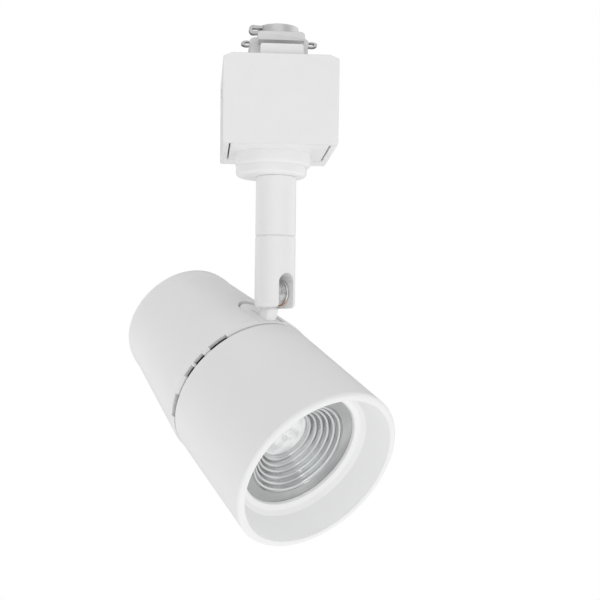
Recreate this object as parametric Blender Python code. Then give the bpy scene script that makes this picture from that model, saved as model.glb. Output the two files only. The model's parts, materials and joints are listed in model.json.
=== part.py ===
"""A track spotlight: a plug-in track adapter, a hollow stem with a swivel, and a tilting lamp head.

Metres, +Z up.  The origin is on the adapter's seat face, where the stem's axis crosses it.
The track runs along Y and the adapter's front faces -Y.  The head hangs below the stem: it pans
about the stem's axis and tilts about the hinge at the stem's foot.
"""

import math

import bmesh
import bpy
from mathutils import Matrix, Vector

MM = 0.001
GAP = 0.3 * MM  # left between touching pieces

# Adapter
ADAPTER_WIDTH = 36.0 * MM
ADAPTER_LENGTH = 42.0 * MM
ADAPTER_HEIGHT = 28.1 * MM
ADAPTER_WALL = 2.2 * MM
FRONT_WALL = 1.5 * MM
DECK = 2.5 * MM
SHOULDER_WIDTH = 2.8 * MM  # the chamfer along each top edge of the adapter
SHOULDER_HEIGHT = 1.2 * MM
DRAFT = 0.2 * MM  # each side wall leans in by this much from the deck to the foot
COVER_THICKNESS = 2.0 * MM
COVER_END = 11.0 * MM
SIDE_SCREW_Z = -8.2 * MM
SIDE_SCREW_Y = 1.0 * MM

# Locking tab
TAB_WIDTH = 13.2 * MM
TAB_THICKNESS = 2.2 * MM
TAB_RISE = 3.6 * MM
TAB_FOOT = -10.0 * MM
SHELF_TOP = -17.3 * MM

# Contact carrier
CORE_HALF_WIDTH = 9.0 * MM
CORE_HALF_LENGTH = 8.5 * MM
PLATE_LOW = 5.8 * MM
PLATE_TOP = 8.5 * MM
PLATE_HALF_WIDTH = 9.4 * MM
PLATE_HALF_LENGTH = 14.7 * MM
BOSS_RADIUS = 6.65 * MM
BOSS_TOP = 13.3 * MM
CONTACT_LENGTH = 3.5 * MM

# Stem
STEM_RADIUS = 6.5 * MM
COLLAR_RADIUS = 12.2 * MM
COLLAR_OFFSET = -1.15 * MM  # the stem stands off the collar's centre
COLLAR_STEP_RADIUS = 11.4 * MM
COLLAR_STEP_OFFSET = -1.6 * MM
COLLAR_STEP_Z = -32.45 * MM
COLLAR_FOOT_Z = -35.45 * MM
SPIGOT_RADIUS = 4.8 * MM
SPIGOT_TOP = -20.5 * MM
SWIVEL_TOP = -54.5 * MM
SWIVEL_FOOT = -55.8 * MM
NIPPLE_RADIUS = 4.2 * MM
NIPPLE_BORE = 2.4 * MM
HINGE_Z = -72.8 * MM
FORK_FOOT = -77.9 * MM
SLOT_WIDTH = 5.6 * MM
SLOT_TOP = -66.8 * MM
KNUCKLE_RADIUS = 4.0 * MM

# Head, measured from its closed back along its own axis
PAN = math.radians(36.0)
TILT = math.radians(33.2)
HINGE_HEIGHT = 34.6 * MM  # from the head's axis up to the hinge
HINGE_STATION = 39.6 * MM  # from the back of the head to the hinge
REAR_RADIUS = 20.3 * MM
REAR_TAPER = 0.148
REAR_END = 43.5 * MM
REAR_ROUND_LENGTH = 6.3 * MM
REAR_ROUND_DEPTH = 1.6 * MM
REAR_WALL = 1.8 * MM
FRONT_START = 45.1 * MM
FRONT_START_RADIUS = 26.5 * MM
FRONT_START_ROUND = 0.8 * MM
FRONT_END = 89.3 * MM
FRONT_END_RADIUS = 29.05 * MM
LIP = 2.6 * MM
LIP_ROUND = 1.3 * MM
POCKET_HALF_WIDTH = 5.3 * MM
POCKET_BACK = 27.9 * MM
POCKET_FLOOR = 22.2 * MM
PLATE_END_STATION = 33.9 * MM
PLATE_SINK = 0.55 * MM  # from the housing's surface down to the foot plate
BAFFLE_DEPTH = 9.3 * MM
BAFFLE_RADIUS = 23.45 * MM
LENS_DEPTH = 11.7 * MM
LENS_OPENING = 20.1 * MM
LENS_RADIUS = 21.3 * MM
WINDOW_RADIUS = 8.4 * MM
WINDOW_STATION = 68.8 * MM
SINK_BASE_START = 45.8 * MM
SINK_BASE_END = 50.4 * MM
NECK_SCREW_STATIONS = (35.6 * MM, 40.0 * MM)
COLUMN_RADIUS = 19.8 * MM
COLUMN_ANGLES = (60, 180, 300)
VENTS = ((38.5, 53), (59, 67.5), (69.7, 78.6), (93, 112))  # degrees down from the top, on each side


def clear_scene():
    for old in list(bpy.data.objects):
        bpy.data.objects.remove(old, do_unlink=True)


def material(name, colour, roughness, metallic=0.0):
    made = bpy.data.materials.new(name)
    made.use_nodes = True
    shader = made.node_tree.nodes["Principled BSDF"]
    shader.inputs["Base Color"].default_value = (*colour, 1.0)
    shader.inputs["Roughness"].default_value = roughness
    shader.inputs["Metallic"].default_value = metallic
    made.diffuse_color = (*colour, 1.0)
    return made


def add_object(name, shape, look, parent=None):
    """Make one object of a bmesh, with its faces pointing out and its round parts smooth."""
    bmesh.ops.recalc_face_normals(shape, faces=shape.faces)
    mesh = bpy.data.meshes.new(name)
    shape.to_mesh(mesh)
    shape.free()
    mesh.shade_smooth()
    mesh.set_sharp_from_angle(angle=math.radians(35))
    if look is not None:
        mesh.materials.append(look)
    made = bpy.data.objects.new(name, mesh)
    bpy.context.collection.objects.link(made)
    made.parent = parent
    return made


def add_empty(name, location, rotation, parent=None):
    made = bpy.data.objects.new(name, None)
    made.location = location
    made.rotation_euler = rotation
    made.parent = parent
    bpy.context.collection.objects.link(made)
    return made


def turned(name, profile, look, parent=None, steps=40, frame=None):
    """Turn an outline of (radius, height) points about Z, then place it with frame.

    A point of radius zero closes the shape there with a flat face.
    """
    shape = bmesh.new()
    rings = []
    for radius, height in profile:
        if radius == 0:
            rings.append(None)
            continue
        ring = []
        for step in range(steps):
            angle = 2 * math.pi * step / steps
            ring.append(shape.verts.new((radius * math.cos(angle), radius * math.sin(angle), height)))
        rings.append(ring)
    for index, ring in enumerate(rings):
        other = rings[(index + 1) % len(rings)]
        if ring is None and other is None:
            continue
        if ring is None or other is None:
            shape.faces.new(ring or other)
            continue
        for step in range(steps):
            after = (step + 1) % steps
            shape.faces.new((ring[step], ring[after], other[after], other[step]))
    if frame is not None:
        bmesh.ops.transform(shape, matrix=frame, verts=shape.verts)
    return add_object(name, shape, look, parent)


def rod(name, radius, start, end, look, parent=None, steps=16):
    """A solid cylinder between two points."""
    start = Vector(start)
    along = Vector(end) - start
    frame = Matrix.Translation(start) @ along.to_track_quat("Z", "Y").to_matrix().to_4x4()
    outline = [(0, 0), (radius, 0), (radius, along.length), (0, along.length)]
    return turned(name, outline, look, parent, steps, frame)


def headed_screw(name, start, end, radius, head_radius, head_height, look, parent=None):
    """A screw whose head's outer face is at start and whose point is at end."""
    start = Vector(start)
    along = Vector(end) - start
    frame = Matrix.Translation(start) @ along.to_track_quat("Z", "Y").to_matrix().to_4x4()
    outline = [
        (0, head_height * 0.5),
        (head_radius * 0.45, head_height * 0.5),
        (head_radius * 0.45, 0),
        (head_radius * 0.8, 0),
        (head_radius, head_height * 0.4),
        (head_radius, head_height),
        (radius, head_height),
        (radius, along.length - radius * 0.5),
        (radius * 0.5, along.length),
        (0, along.length),
    ]
    return turned(name, outline, look, parent, 16, frame)


def block(name, low, high, look, parent=None, bevel=0.0, segments=2):
    """A box between two corners, with its edges rounded where bevel is given."""
    shape = bmesh.new()
    bmesh.ops.create_cube(shape, size=1.0)
    for vert in shape.verts:
        vert.co = Vector([low[i] if vert.co[i] < 0 else high[i] for i in range(3)])
    if bevel > 0:
        bmesh.ops.bevel(
            shape, geom=list(shape.edges), offset=bevel, segments=segments, profile=0.5, affect="EDGES"
        )
    return add_object(name, shape, look, parent)


def extruded(name, outline, near, far, look, parent=None):
    """Extrude an outline of (x, z) points along Y."""
    shape = bmesh.new()
    front = [shape.verts.new((x, near, z)) for x, z in outline]
    back = [shape.verts.new((x, far, z)) for x, z in outline]
    shape.faces.new(front)
    shape.faces.new(back)
    count = len(outline)
    for index in range(count):
        after = (index + 1) % count
        shape.faces.new((front[index], front[after], back[after], back[index]))
    return add_object(name, shape, look, parent)


def swept_wire(name, points, radius, look, parent=None, sides=8):
    """A round wire along a list of points, with flat ends."""
    shape = bmesh.new()
    points = [Vector(point) for point in points]
    rings = []
    across = None
    for index, point in enumerate(points):
        before = points[max(index - 1, 0)]
        after = points[min(index + 1, len(points) - 1)]
        along = (after - before).normalized()
        if across is None:
            across = along.orthogonal().normalized()
        across = (across - along * across.dot(along)).normalized()
        other = along.cross(across)
        ring = []
        for side in range(sides):
            angle = 2 * math.pi * side / sides
            offset = across * math.cos(angle) + other * math.sin(angle)
            ring.append(shape.verts.new(point + offset * radius))
        rings.append(ring)
    for ring, following in zip(rings, rings[1:]):
        for side in range(sides):
            after = (side + 1) % sides
            shape.faces.new((ring[side], ring[after], following[after], following[side]))
    shape.faces.new(rings[0])
    shape.faces.new(rings[-1])
    return add_object(name, shape, look, parent)


def combine(target, tool, operation):
    """Cut the tool away from the target, or add it, and hide the tool."""
    modifier = target.modifiers.new(operation.title(), "BOOLEAN")
    modifier.operation = operation
    modifier.object = tool
    modifier.solver = "EXACT"
    tool.hide_render = True
    tool.display_type = "WIRE"


def cut(target, tool):
    combine(target, tool, "DIFFERENCE")


def add(target, tool):
    combine(target, tool, "UNION")


def arc(centre, radius, start, end, count):
    """Points on an arc in a plane, from one angle to another in degrees."""
    points = []
    for index in range(count):
        angle = math.radians(start + (end - start) * index / (count - 1))
        points.append((centre[0] + radius * math.cos(angle), centre[1] + radius * math.sin(angle)))
    return points


def make_adapter_housing(looks):
    half_x = ADAPTER_WIDTH / 2
    half_y = ADAPTER_LENGTH / 2
    housing = block(
        "adapter_housing",
        (-half_x, -half_y, -ADAPTER_HEIGHT),
        (half_x, half_y, 0),
        looks["white_plastic"],
        bevel=0.9 * MM,
    )
    for vert in housing.data.vertices:
        lean = 1 - DRAFT / half_x * (-vert.co.z / ADAPTER_HEIGHT)
        vert.co.x *= lean
    inside_x = half_x - ADAPTER_WALL
    inside_front = -half_y + FRONT_WALL
    cavity = block(
        "cavity_cutter",
        (-inside_x, inside_front, -ADAPTER_HEIGHT + COVER_THICKNESS),
        (inside_x, half_y - ADAPTER_WALL, -DECK),
        None,
    )
    mouth = block(
        "mouth_cutter",
        (-inside_x, inside_front, -ADAPTER_HEIGHT - 1 * MM),
        (inside_x, COVER_END + GAP, -ADAPTER_HEIGHT + COVER_THICKNESS + 1 * MM),
        None,
    )
    carrier_hole = block(
        "carrier_hole_cutter",
        (-CORE_HALF_WIDTH - GAP, -CORE_HALF_LENGTH - GAP, -DECK - 1 * MM),
        (CORE_HALF_WIDTH + GAP, CORE_HALF_LENGTH + GAP, 1 * MM),
        None,
    )
    tab_front = inside_front + GAP
    tab_hole = block(
        "tab_hole_cutter",
        (-TAB_WIDTH / 2 - GAP, inside_front, -DECK - 1 * MM),
        (TAB_WIDTH / 2 + GAP, tab_front + TAB_THICKNESS + GAP, 1 * MM),
        None,
    )
    for cutter in (cavity, mouth, carrier_hole, tab_hole):
        cut(housing, cutter)
    for side in (-1, 1):
        shoulder = extruded(
            f"shoulder_cutter_{side}",
            [
                (side * (half_x - SHOULDER_WIDTH), 0),
                (side * (half_x + SHOULDER_WIDTH), -2 * SHOULDER_HEIGHT),
                (side * (half_x + SHOULDER_WIDTH), 1 * MM),
                (side * (half_x - SHOULDER_WIDTH), 1 * MM),
            ],
            -half_y - 1 * MM,
            half_y + 1 * MM,
            None,
        )
        cut(housing, shoulder)
    shelf = block(
        "shelf_rib",
        (-4 * MM, -half_y + 0.7 * MM, SHELF_TOP - 1.7 * MM),
        (4 * MM, tab_front + TAB_THICKNESS + 1.5 * MM, SHELF_TOP),
        None,
    )
    add(housing, shelf)
    for side in (-1, 1):
        wall = side * half_x
        clearance = rod(
            f"side_screw_cutter_{side}",
            1.3 * MM + GAP,
            (wall * 0.8, SIDE_SCREW_Y, SIDE_SCREW_Z),
            (wall * 1.1, SIDE_SCREW_Y, SIDE_SCREW_Z),
            None,
        )
        recess = rod(
            f"side_recess_cutter_{side}",
            2.1 * MM,
            (wall * 0.95, SIDE_SCREW_Y, SIDE_SCREW_Z),
            (wall * 1.1, SIDE_SCREW_Y, SIDE_SCREW_Z),
            None,
        )
        cut(housing, clearance)
        cut(housing, recess)
    pin_hole = rod(
        "side_pin_hole_cutter",
        0.7 * MM,
        (-half_x * 0.8, SIDE_SCREW_Y, SIDE_SCREW_Z - 4 * MM),
        (-half_x * 1.1, SIDE_SCREW_Y, SIDE_SCREW_Z - 4 * MM),
        None,
        steps=12,
    )
    cut(housing, pin_hole)
    return housing


def make_bottom_cover(looks):
    inside_x = ADAPTER_WIDTH / 2 - ADAPTER_WALL - GAP
    front = -ADAPTER_LENGTH / 2 + FRONT_WALL + GAP
    foot = -ADAPTER_HEIGHT
    cover = block(
        "adapter_bottom_cover",
        (-inside_x, front, foot),
        (inside_x, COVER_END, foot + COVER_THICKNESS),
        looks["white_plastic"],
    )
    for side in (-1, 1):
        edge = sorted((side * inside_x, side * (inside_x - 2.4 * MM)))
        upstand = block(
            f"cover_upstand_{side}",
            (edge[0], SIDE_SCREW_Y - 4 * MM, foot + 1 * MM),
            (edge[1], SIDE_SCREW_Y + 4 * MM, SIDE_SCREW_Z + 3.5 * MM),
            None,
        )
        add(cover, upstand)
        tapped = rod(
            f"cover_tap_cutter_{side}",
            1.3 * MM + GAP,
            (side * (inside_x - 4 * MM), SIDE_SCREW_Y, SIDE_SCREW_Z),
            (side * (inside_x + 1 * MM), SIDE_SCREW_Y, SIDE_SCREW_Z),
            None,
        )
        cut(cover, tapped)
    stem_hole = rod(
        "cover_stem_cutter",
        SPIGOT_RADIUS + GAP,
        (0, 0, foot - 1 * MM),
        (0, 0, foot + COVER_THICKNESS + 1 * MM),
        None,
        steps=24,
    )
    cut(cover, stem_hole)


def make_side_screws(looks):
    wall = ADAPTER_WIDTH / 2
    for side, name in ((-1, "side_screw_left"), (1, "side_screw_right")):
        headed_screw(
            name,
            (side * (wall - 0.05 * MM), SIDE_SCREW_Y, SIDE_SCREW_Z),
            (side * (wall - 4.6 * MM), SIDE_SCREW_Y, SIDE_SCREW_Z),
            1.3 * MM,
            1.75 * MM,
            0.55 * MM,
            looks["nickel"],
        )


def make_locking_tab(looks):
    front = -ADAPTER_LENGTH / 2 + FRONT_WALL + GAP
    back = front + TAB_THICKNESS
    tab = block(
        "locking_tab",
        (-TAB_WIDTH / 2, front, TAB_FOOT + 1 * MM),
        (TAB_WIDTH / 2, back, TAB_RISE),
        looks["white_plastic"],
        bevel=0.4 * MM,
        segments=1,
    )
    shoulder = block(
        "tab_shoulder",
        (-TAB_WIDTH / 2 - 1.2 * MM, front + 0.1 * MM, TAB_FOOT),
        (TAB_WIDTH / 2 + 1.2 * MM, back - 0.1 * MM, -DECK - GAP),
        None,
    )
    add(tab, shoulder)


def make_tab_spring(looks):
    turns = 5
    steps = 10
    wire = 0.25 * MM
    centre_y = -ADAPTER_LENGTH / 2 + FRONT_WALL + GAP + TAB_THICKNESS / 2
    spring_radius = 0.8 * MM
    low = SHELF_TOP + GAP + wire
    high = TAB_FOOT - GAP - wire
    points = []
    for index in range(turns * steps + 1):
        share = index / (turns * steps)
        angle = 2 * math.pi * turns * share
        x = spring_radius * math.cos(angle)
        y = centre_y + spring_radius * math.sin(angle)
        points.append((x, y, low + (high - low) * share))
    swept_wire("locking_tab_spring", points, wire, looks["spring_steel"], sides=6)


def make_contact_carrier(looks):
    carrier = block(
        "contact_carrier",
        (-CORE_HALF_WIDTH, -CORE_HALF_LENGTH, -DECK - 1.8 * MM),
        (CORE_HALF_WIDTH, CORE_HALF_LENGTH, PLATE_LOW + 1 * MM),
        looks["grey_plastic"],
    )
    flange = block(
        "carrier_flange",
        (-CORE_HALF_WIDTH - 2 * MM, -CORE_HALF_LENGTH - 1.5 * MM, -DECK - 1.8 * MM),
        (CORE_HALF_WIDTH + 2 * MM, CORE_HALF_LENGTH + 1.5 * MM, -DECK - GAP),
        None,
    )
    wings = block(
        "carrier_wings",
        (-PLATE_HALF_WIDTH, -7.5 * MM, PLATE_LOW),
        (PLATE_HALF_WIDTH, 7.5 * MM, PLATE_TOP),
        None,
        bevel=0.8 * MM,
    )
    plate = block(
        "carrier_plate",
        (-7.2 * MM, -PLATE_HALF_LENGTH, PLATE_LOW + 0.1 * MM),
        (7.7 * MM, PLATE_HALF_LENGTH, PLATE_TOP + 0.1 * MM),
        None,
        bevel=0.7 * MM,
    )
    boss = turned(
        "carrier_boss",
        [
            (0, PLATE_LOW + 1 * MM),
            (BOSS_RADIUS, PLATE_LOW + 1 * MM),
            (BOSS_RADIUS, BOSS_TOP - 0.8 * MM),
            (BOSS_RADIUS - 0.8 * MM, BOSS_TOP),
            (0, BOSS_TOP),
        ],
        None,
        steps=32,
    )
    for piece in (flange, wings, plate, boss):
        add(carrier, piece)
    for name, side, height, loop, near, reach, root in contact_list():
        ends = sorted((side * root, side * (reach - 0.5 * MM)))
        rise = loop / 2 + GAP
        pocket = block(
            f"{name}_pocket_cutter",
            (ends[0], near - GAP, height - rise),
            (ends[1], near + CONTACT_LENGTH + GAP, height + rise),
            None,
        )
        cut(carrier, pocket)


def contact_list():
    """Name, side, height, loop height, near face, reach and root of each spring contact."""
    return (
        ("contact_upper_left", -1, 11.6 * MM, 2.7 * MM, -4.6 * MM, 9.6 * MM, 2.5 * MM),
        ("contact_lower_left", -1, 7.2 * MM, 1.7 * MM, -4.0 * MM, 12.0 * MM, 5.0 * MM),
        ("contact_lower_right", 1, 7.3 * MM, 1.7 * MM, -4.0 * MM, 12.5 * MM, 5.0 * MM),
    )


def make_contacts(looks):
    strip = 0.45 * MM
    for name, side, height, loop, near, reach, root in contact_list():
        outer = loop / 2
        bend = reach - outer
        start = root + GAP
        points = [(start, height + outer)]
        points += arc((bend, height), outer, 90, -90, 9)
        points += [(start, height - outer), (start, height - outer + strip)]
        points += arc((bend, height), outer - strip, -90, 90, 9)
        points += [(start, height + outer - strip)]
        outline = [(side * x, z) for x, z in points]
        extruded(name, outline, near, near + CONTACT_LENGTH, looks["nickel"])


def make_driver(looks):
    board_z = -12.0 * MM
    board = block(
        "driver_board",
        (-11.5 * MM, -13.0 * MM, board_z),
        (11.5 * MM, 17.5 * MM, board_z + 1.2 * MM),
        looks["circuit_board"],
    )
    lead_hole = rod(
        "board_lead_cutter", 2.2 * MM, (0, 0, board_z - 1 * MM), (0, 0, board_z + 3 * MM), None, steps=12
    )
    cut(board, lead_hole)
    below = board_z - GAP
    block(
        "driver_transformer",
        (-10.5 * MM, 7.5 * MM, below - 9 * MM),
        (-0.5 * MM, 16.5 * MM, below),
        looks["dark_plastic"],
        bevel=0.5 * MM,
        segments=1,
    )
    rod(
        "driver_capacitor",
        4.0 * MM,
        (6.0 * MM, 12.0 * MM, below - 11 * MM),
        (6.0 * MM, 12.0 * MM, below),
        looks["dark_plastic"],
    )


def make_stem(looks):
    foot = -ADAPTER_HEIGHT - GAP
    collar = turned(
        "stem_collar",
        [
            (0, foot),
            (COLLAR_RADIUS - 0.8 * MM, foot),
            (COLLAR_RADIUS, foot - 0.8 * MM),
            (COLLAR_RADIUS, COLLAR_STEP_Z + 0.9 * MM),
            (COLLAR_RADIUS - 0.9 * MM, COLLAR_STEP_Z),
            (0, COLLAR_STEP_Z),
        ],
        looks["white_paint"],
        frame=Matrix.Translation((COLLAR_OFFSET, 0, 0)),
    )
    step = turned(
        "collar_step",
        [
            (0, COLLAR_STEP_Z + 1 * MM),
            (COLLAR_STEP_RADIUS - 0.8 * MM, COLLAR_STEP_Z + 1 * MM),
            (COLLAR_STEP_RADIUS, COLLAR_STEP_Z),
            (COLLAR_STEP_RADIUS, COLLAR_FOOT_Z + 0.7 * MM),
            (COLLAR_STEP_RADIUS - 0.7 * MM, COLLAR_FOOT_Z),
            (0, COLLAR_FOOT_Z),
        ],
        None,
        frame=Matrix.Translation((COLLAR_STEP_OFFSET, 0, 0)),
    )
    ends = [(0, 0, foot + 1 * MM), (0, 0, COLLAR_FOOT_Z - 1 * MM)]
    bore = rod("collar_bore_cutter", SPIGOT_RADIUS + GAP, *ends, None, steps=40)
    add(collar, step)
    cut(collar, bore)
    shoulder = COLLAR_FOOT_Z - GAP
    socket = NIPPLE_RADIUS + GAP
    turned(
        "stem_tube",
        [
            (NIPPLE_BORE, SPIGOT_TOP),
            (SPIGOT_RADIUS, SPIGOT_TOP),
            (SPIGOT_RADIUS, shoulder),
            (STEM_RADIUS, shoulder),
            (STEM_RADIUS, SWIVEL_TOP + 0.3 * MM),
            (STEM_RADIUS - 0.3 * MM, SWIVEL_TOP),
            (socket, SWIVEL_TOP),
            (socket, SWIVEL_TOP + 8 * MM),
            (NIPPLE_BORE, SWIVEL_TOP + 8 * MM),
        ],
        looks["white_paint"],
        steps=32,
    )
    cover_top = -ADAPTER_HEIGHT + COVER_THICKNESS
    nut_foot = cover_top + GAP + 0.8 * MM + GAP
    nut = rod("stem_nut", 7.4 * MM, (0, 0, nut_foot), (0, 0, nut_foot + 3.2 * MM), looks["nickel"], steps=6)
    nut_hole = rod(
        "nut_hole_cutter",
        SPIGOT_RADIUS + GAP,
        (0, 0, nut_foot - 1 * MM),
        (0, 0, nut_foot + 5 * MM),
        None,
        steps=24,
    )
    cut(nut, nut_hole)
    turned(
        "stem_lock_washer",
        [
            (SPIGOT_RADIUS + GAP, cover_top + GAP),
            (7.8 * MM, cover_top + GAP),
            (7.8 * MM, cover_top + GAP + 0.8 * MM),
            (SPIGOT_RADIUS + GAP, cover_top + GAP + 0.8 * MM),
        ],
        looks["spring_steel"],
        steps=24,
    )
    for side, name in ((-1, "lead_live"), (1, "lead_return")):
        x = side * 0.95 * MM
        swept_wire(
            name,
            [(x, 0, -10.0 * MM), (x, 0, -30.0 * MM), (x, 0, -48.0 * MM), (x, 0, -64.6 * MM)],
            0.7 * MM,
            looks["brown_lead"] if side < 0 else looks["blue_lead"],
        )


def make_swivel(looks, pan_axis):
    nipple_foot = -63.4 * MM
    groove = 0.5 * MM
    ring_top = -60.3 * MM
    ring_foot = ring_top - 0.9 * MM
    turned(
        "swivel_nipple",
        [
            (NIPPLE_BORE, SWIVEL_TOP + 8 * MM - GAP),
            (NIPPLE_RADIUS, SWIVEL_TOP + 8 * MM - GAP),
            (NIPPLE_RADIUS, ring_top + 0.15 * MM),
            (NIPPLE_RADIUS - groove, ring_top + 0.15 * MM),
            (NIPPLE_RADIUS - groove, ring_foot - 0.15 * MM),
            (NIPPLE_RADIUS, ring_foot - 0.15 * MM),
            (NIPPLE_RADIUS, nipple_foot),
            (NIPPLE_BORE, nipple_foot),
        ],
        looks["nickel"],
        steps=24,
    )
    turned(
        "swivel_retaining_ring",
        [
            (NIPPLE_RADIUS - groove + 0.1 * MM, ring_top),
            (5.2 * MM, ring_top),
            (5.2 * MM, ring_foot),
            (NIPPLE_RADIUS - groove + 0.1 * MM, ring_foot),
        ],
        looks["spring_steel"],
        steps=24,
    )
    turned(
        "swivel_washer",
        [
            (NIPPLE_RADIUS + GAP, SWIVEL_TOP - GAP),
            (6.15 * MM, SWIVEL_TOP - GAP),
            (6.15 * MM, SWIVEL_FOOT + GAP),
            (NIPPLE_RADIUS + GAP, SWIVEL_FOOT + GAP),
        ],
        looks["white_plastic"],
        pan_axis,
        steps=32,
    )


def make_fork(looks, pan_axis):
    """The stem's lower half: a socket for the swivel above and two cheeks for the hinge below."""
    socket = NIPPLE_RADIUS + GAP
    fork = turned(
        "stem_fork",
        [
            (0, FORK_FOOT),
            (STEM_RADIUS - 1.2 * MM, FORK_FOOT),
            (STEM_RADIUS - 0.35 * MM, FORK_FOOT + 0.35 * MM),
            (STEM_RADIUS, FORK_FOOT + 1.2 * MM),
            (STEM_RADIUS, SWIVEL_FOOT - 0.6 * MM),
            (STEM_RADIUS - 0.6 * MM, SWIVEL_FOOT),
            (socket, SWIVEL_FOOT),
            (socket, -60.0 * MM),
            (5.5 * MM, -60.0 * MM),
            (5.5 * MM, -63.9 * MM),
            (0, -63.9 * MM),
        ],
        looks["white_paint"],
        pan_axis,
        steps=32,
    )
    half = SLOT_WIDTH / 2
    slot = block(
        "slot_cutter",
        (-half, -STEM_RADIUS - 1 * MM, FORK_FOOT - 1 * MM),
        (half, STEM_RADIUS + 1 * MM, SLOT_TOP - half),
        None,
        pan_axis,
    )
    slot_round = rod(
        "slot_round_cutter",
        half,
        (0, -STEM_RADIUS - 1 * MM, SLOT_TOP - half),
        (0, STEM_RADIUS + 1 * MM, SLOT_TOP - half),
        None,
        pan_axis,
        steps=24,
    )
    lead_way = rod(
        "lead_way_cutter", 1.9 * MM, (0, 0, -63.0 * MM), (0, 0, SLOT_TOP - 2 * MM), None, pan_axis
    )
    pin_bore = rod(
        "pin_bore_cutter",
        1.5 * MM + GAP,
        (-4.9 * MM, 0, HINGE_Z),
        (STEM_RADIUS + 1 * MM, 0, HINGE_Z),
        None,
        pan_axis,
    )
    head_bore = rod(
        "head_bore_cutter",
        2.6 * MM + GAP,
        (4.7 * MM, 0, HINGE_Z),
        (STEM_RADIUS + 1 * MM, 0, HINGE_Z),
        None,
        pan_axis,
    )
    for cutter in (slot, slot_round, lead_way, pin_bore, head_bore):
        cut(fork, cutter)
    headed_screw(
        "hinge_screw",
        (6.3 * MM, 0, HINGE_Z),
        (-4.6 * MM, 0, HINGE_Z),
        1.5 * MM,
        2.6 * MM,
        1.3 * MM,
        looks["nickel"],
        pan_axis,
    )


def axial_frame():
    """Place a shape turned about Z on the head's own axis, with its height running forward."""
    back = Vector((0, HINGE_STATION, -HINGE_HEIGHT))
    return Matrix.Translation(back) @ Matrix.Rotation(math.radians(90), 4, "X")


def on_head(side, station, top):
    """A point of the head: sideways, forward from its back, and up from its axis."""
    return Vector((side, HINGE_STATION - station, top - HINGE_HEIGHT))


def head_block(name, low, high, look, parent, bevel=0.0):
    """A box between two head points, each given as side, station and top."""
    first = on_head(*low)
    second = on_head(*high)
    corners = [sorted((first[i], second[i])) for i in range(3)]
    return block(name, [c[0] for c in corners], [c[1] for c in corners], look, parent, bevel)


def rear_radius(station):
    return REAR_RADIUS + REAR_TAPER * station


def front_radius(station):
    share = (station - FRONT_START) / (FRONT_END - FRONT_START)
    return FRONT_START_RADIUS + (FRONT_END_RADIUS - FRONT_START_RADIUS) * share


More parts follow.
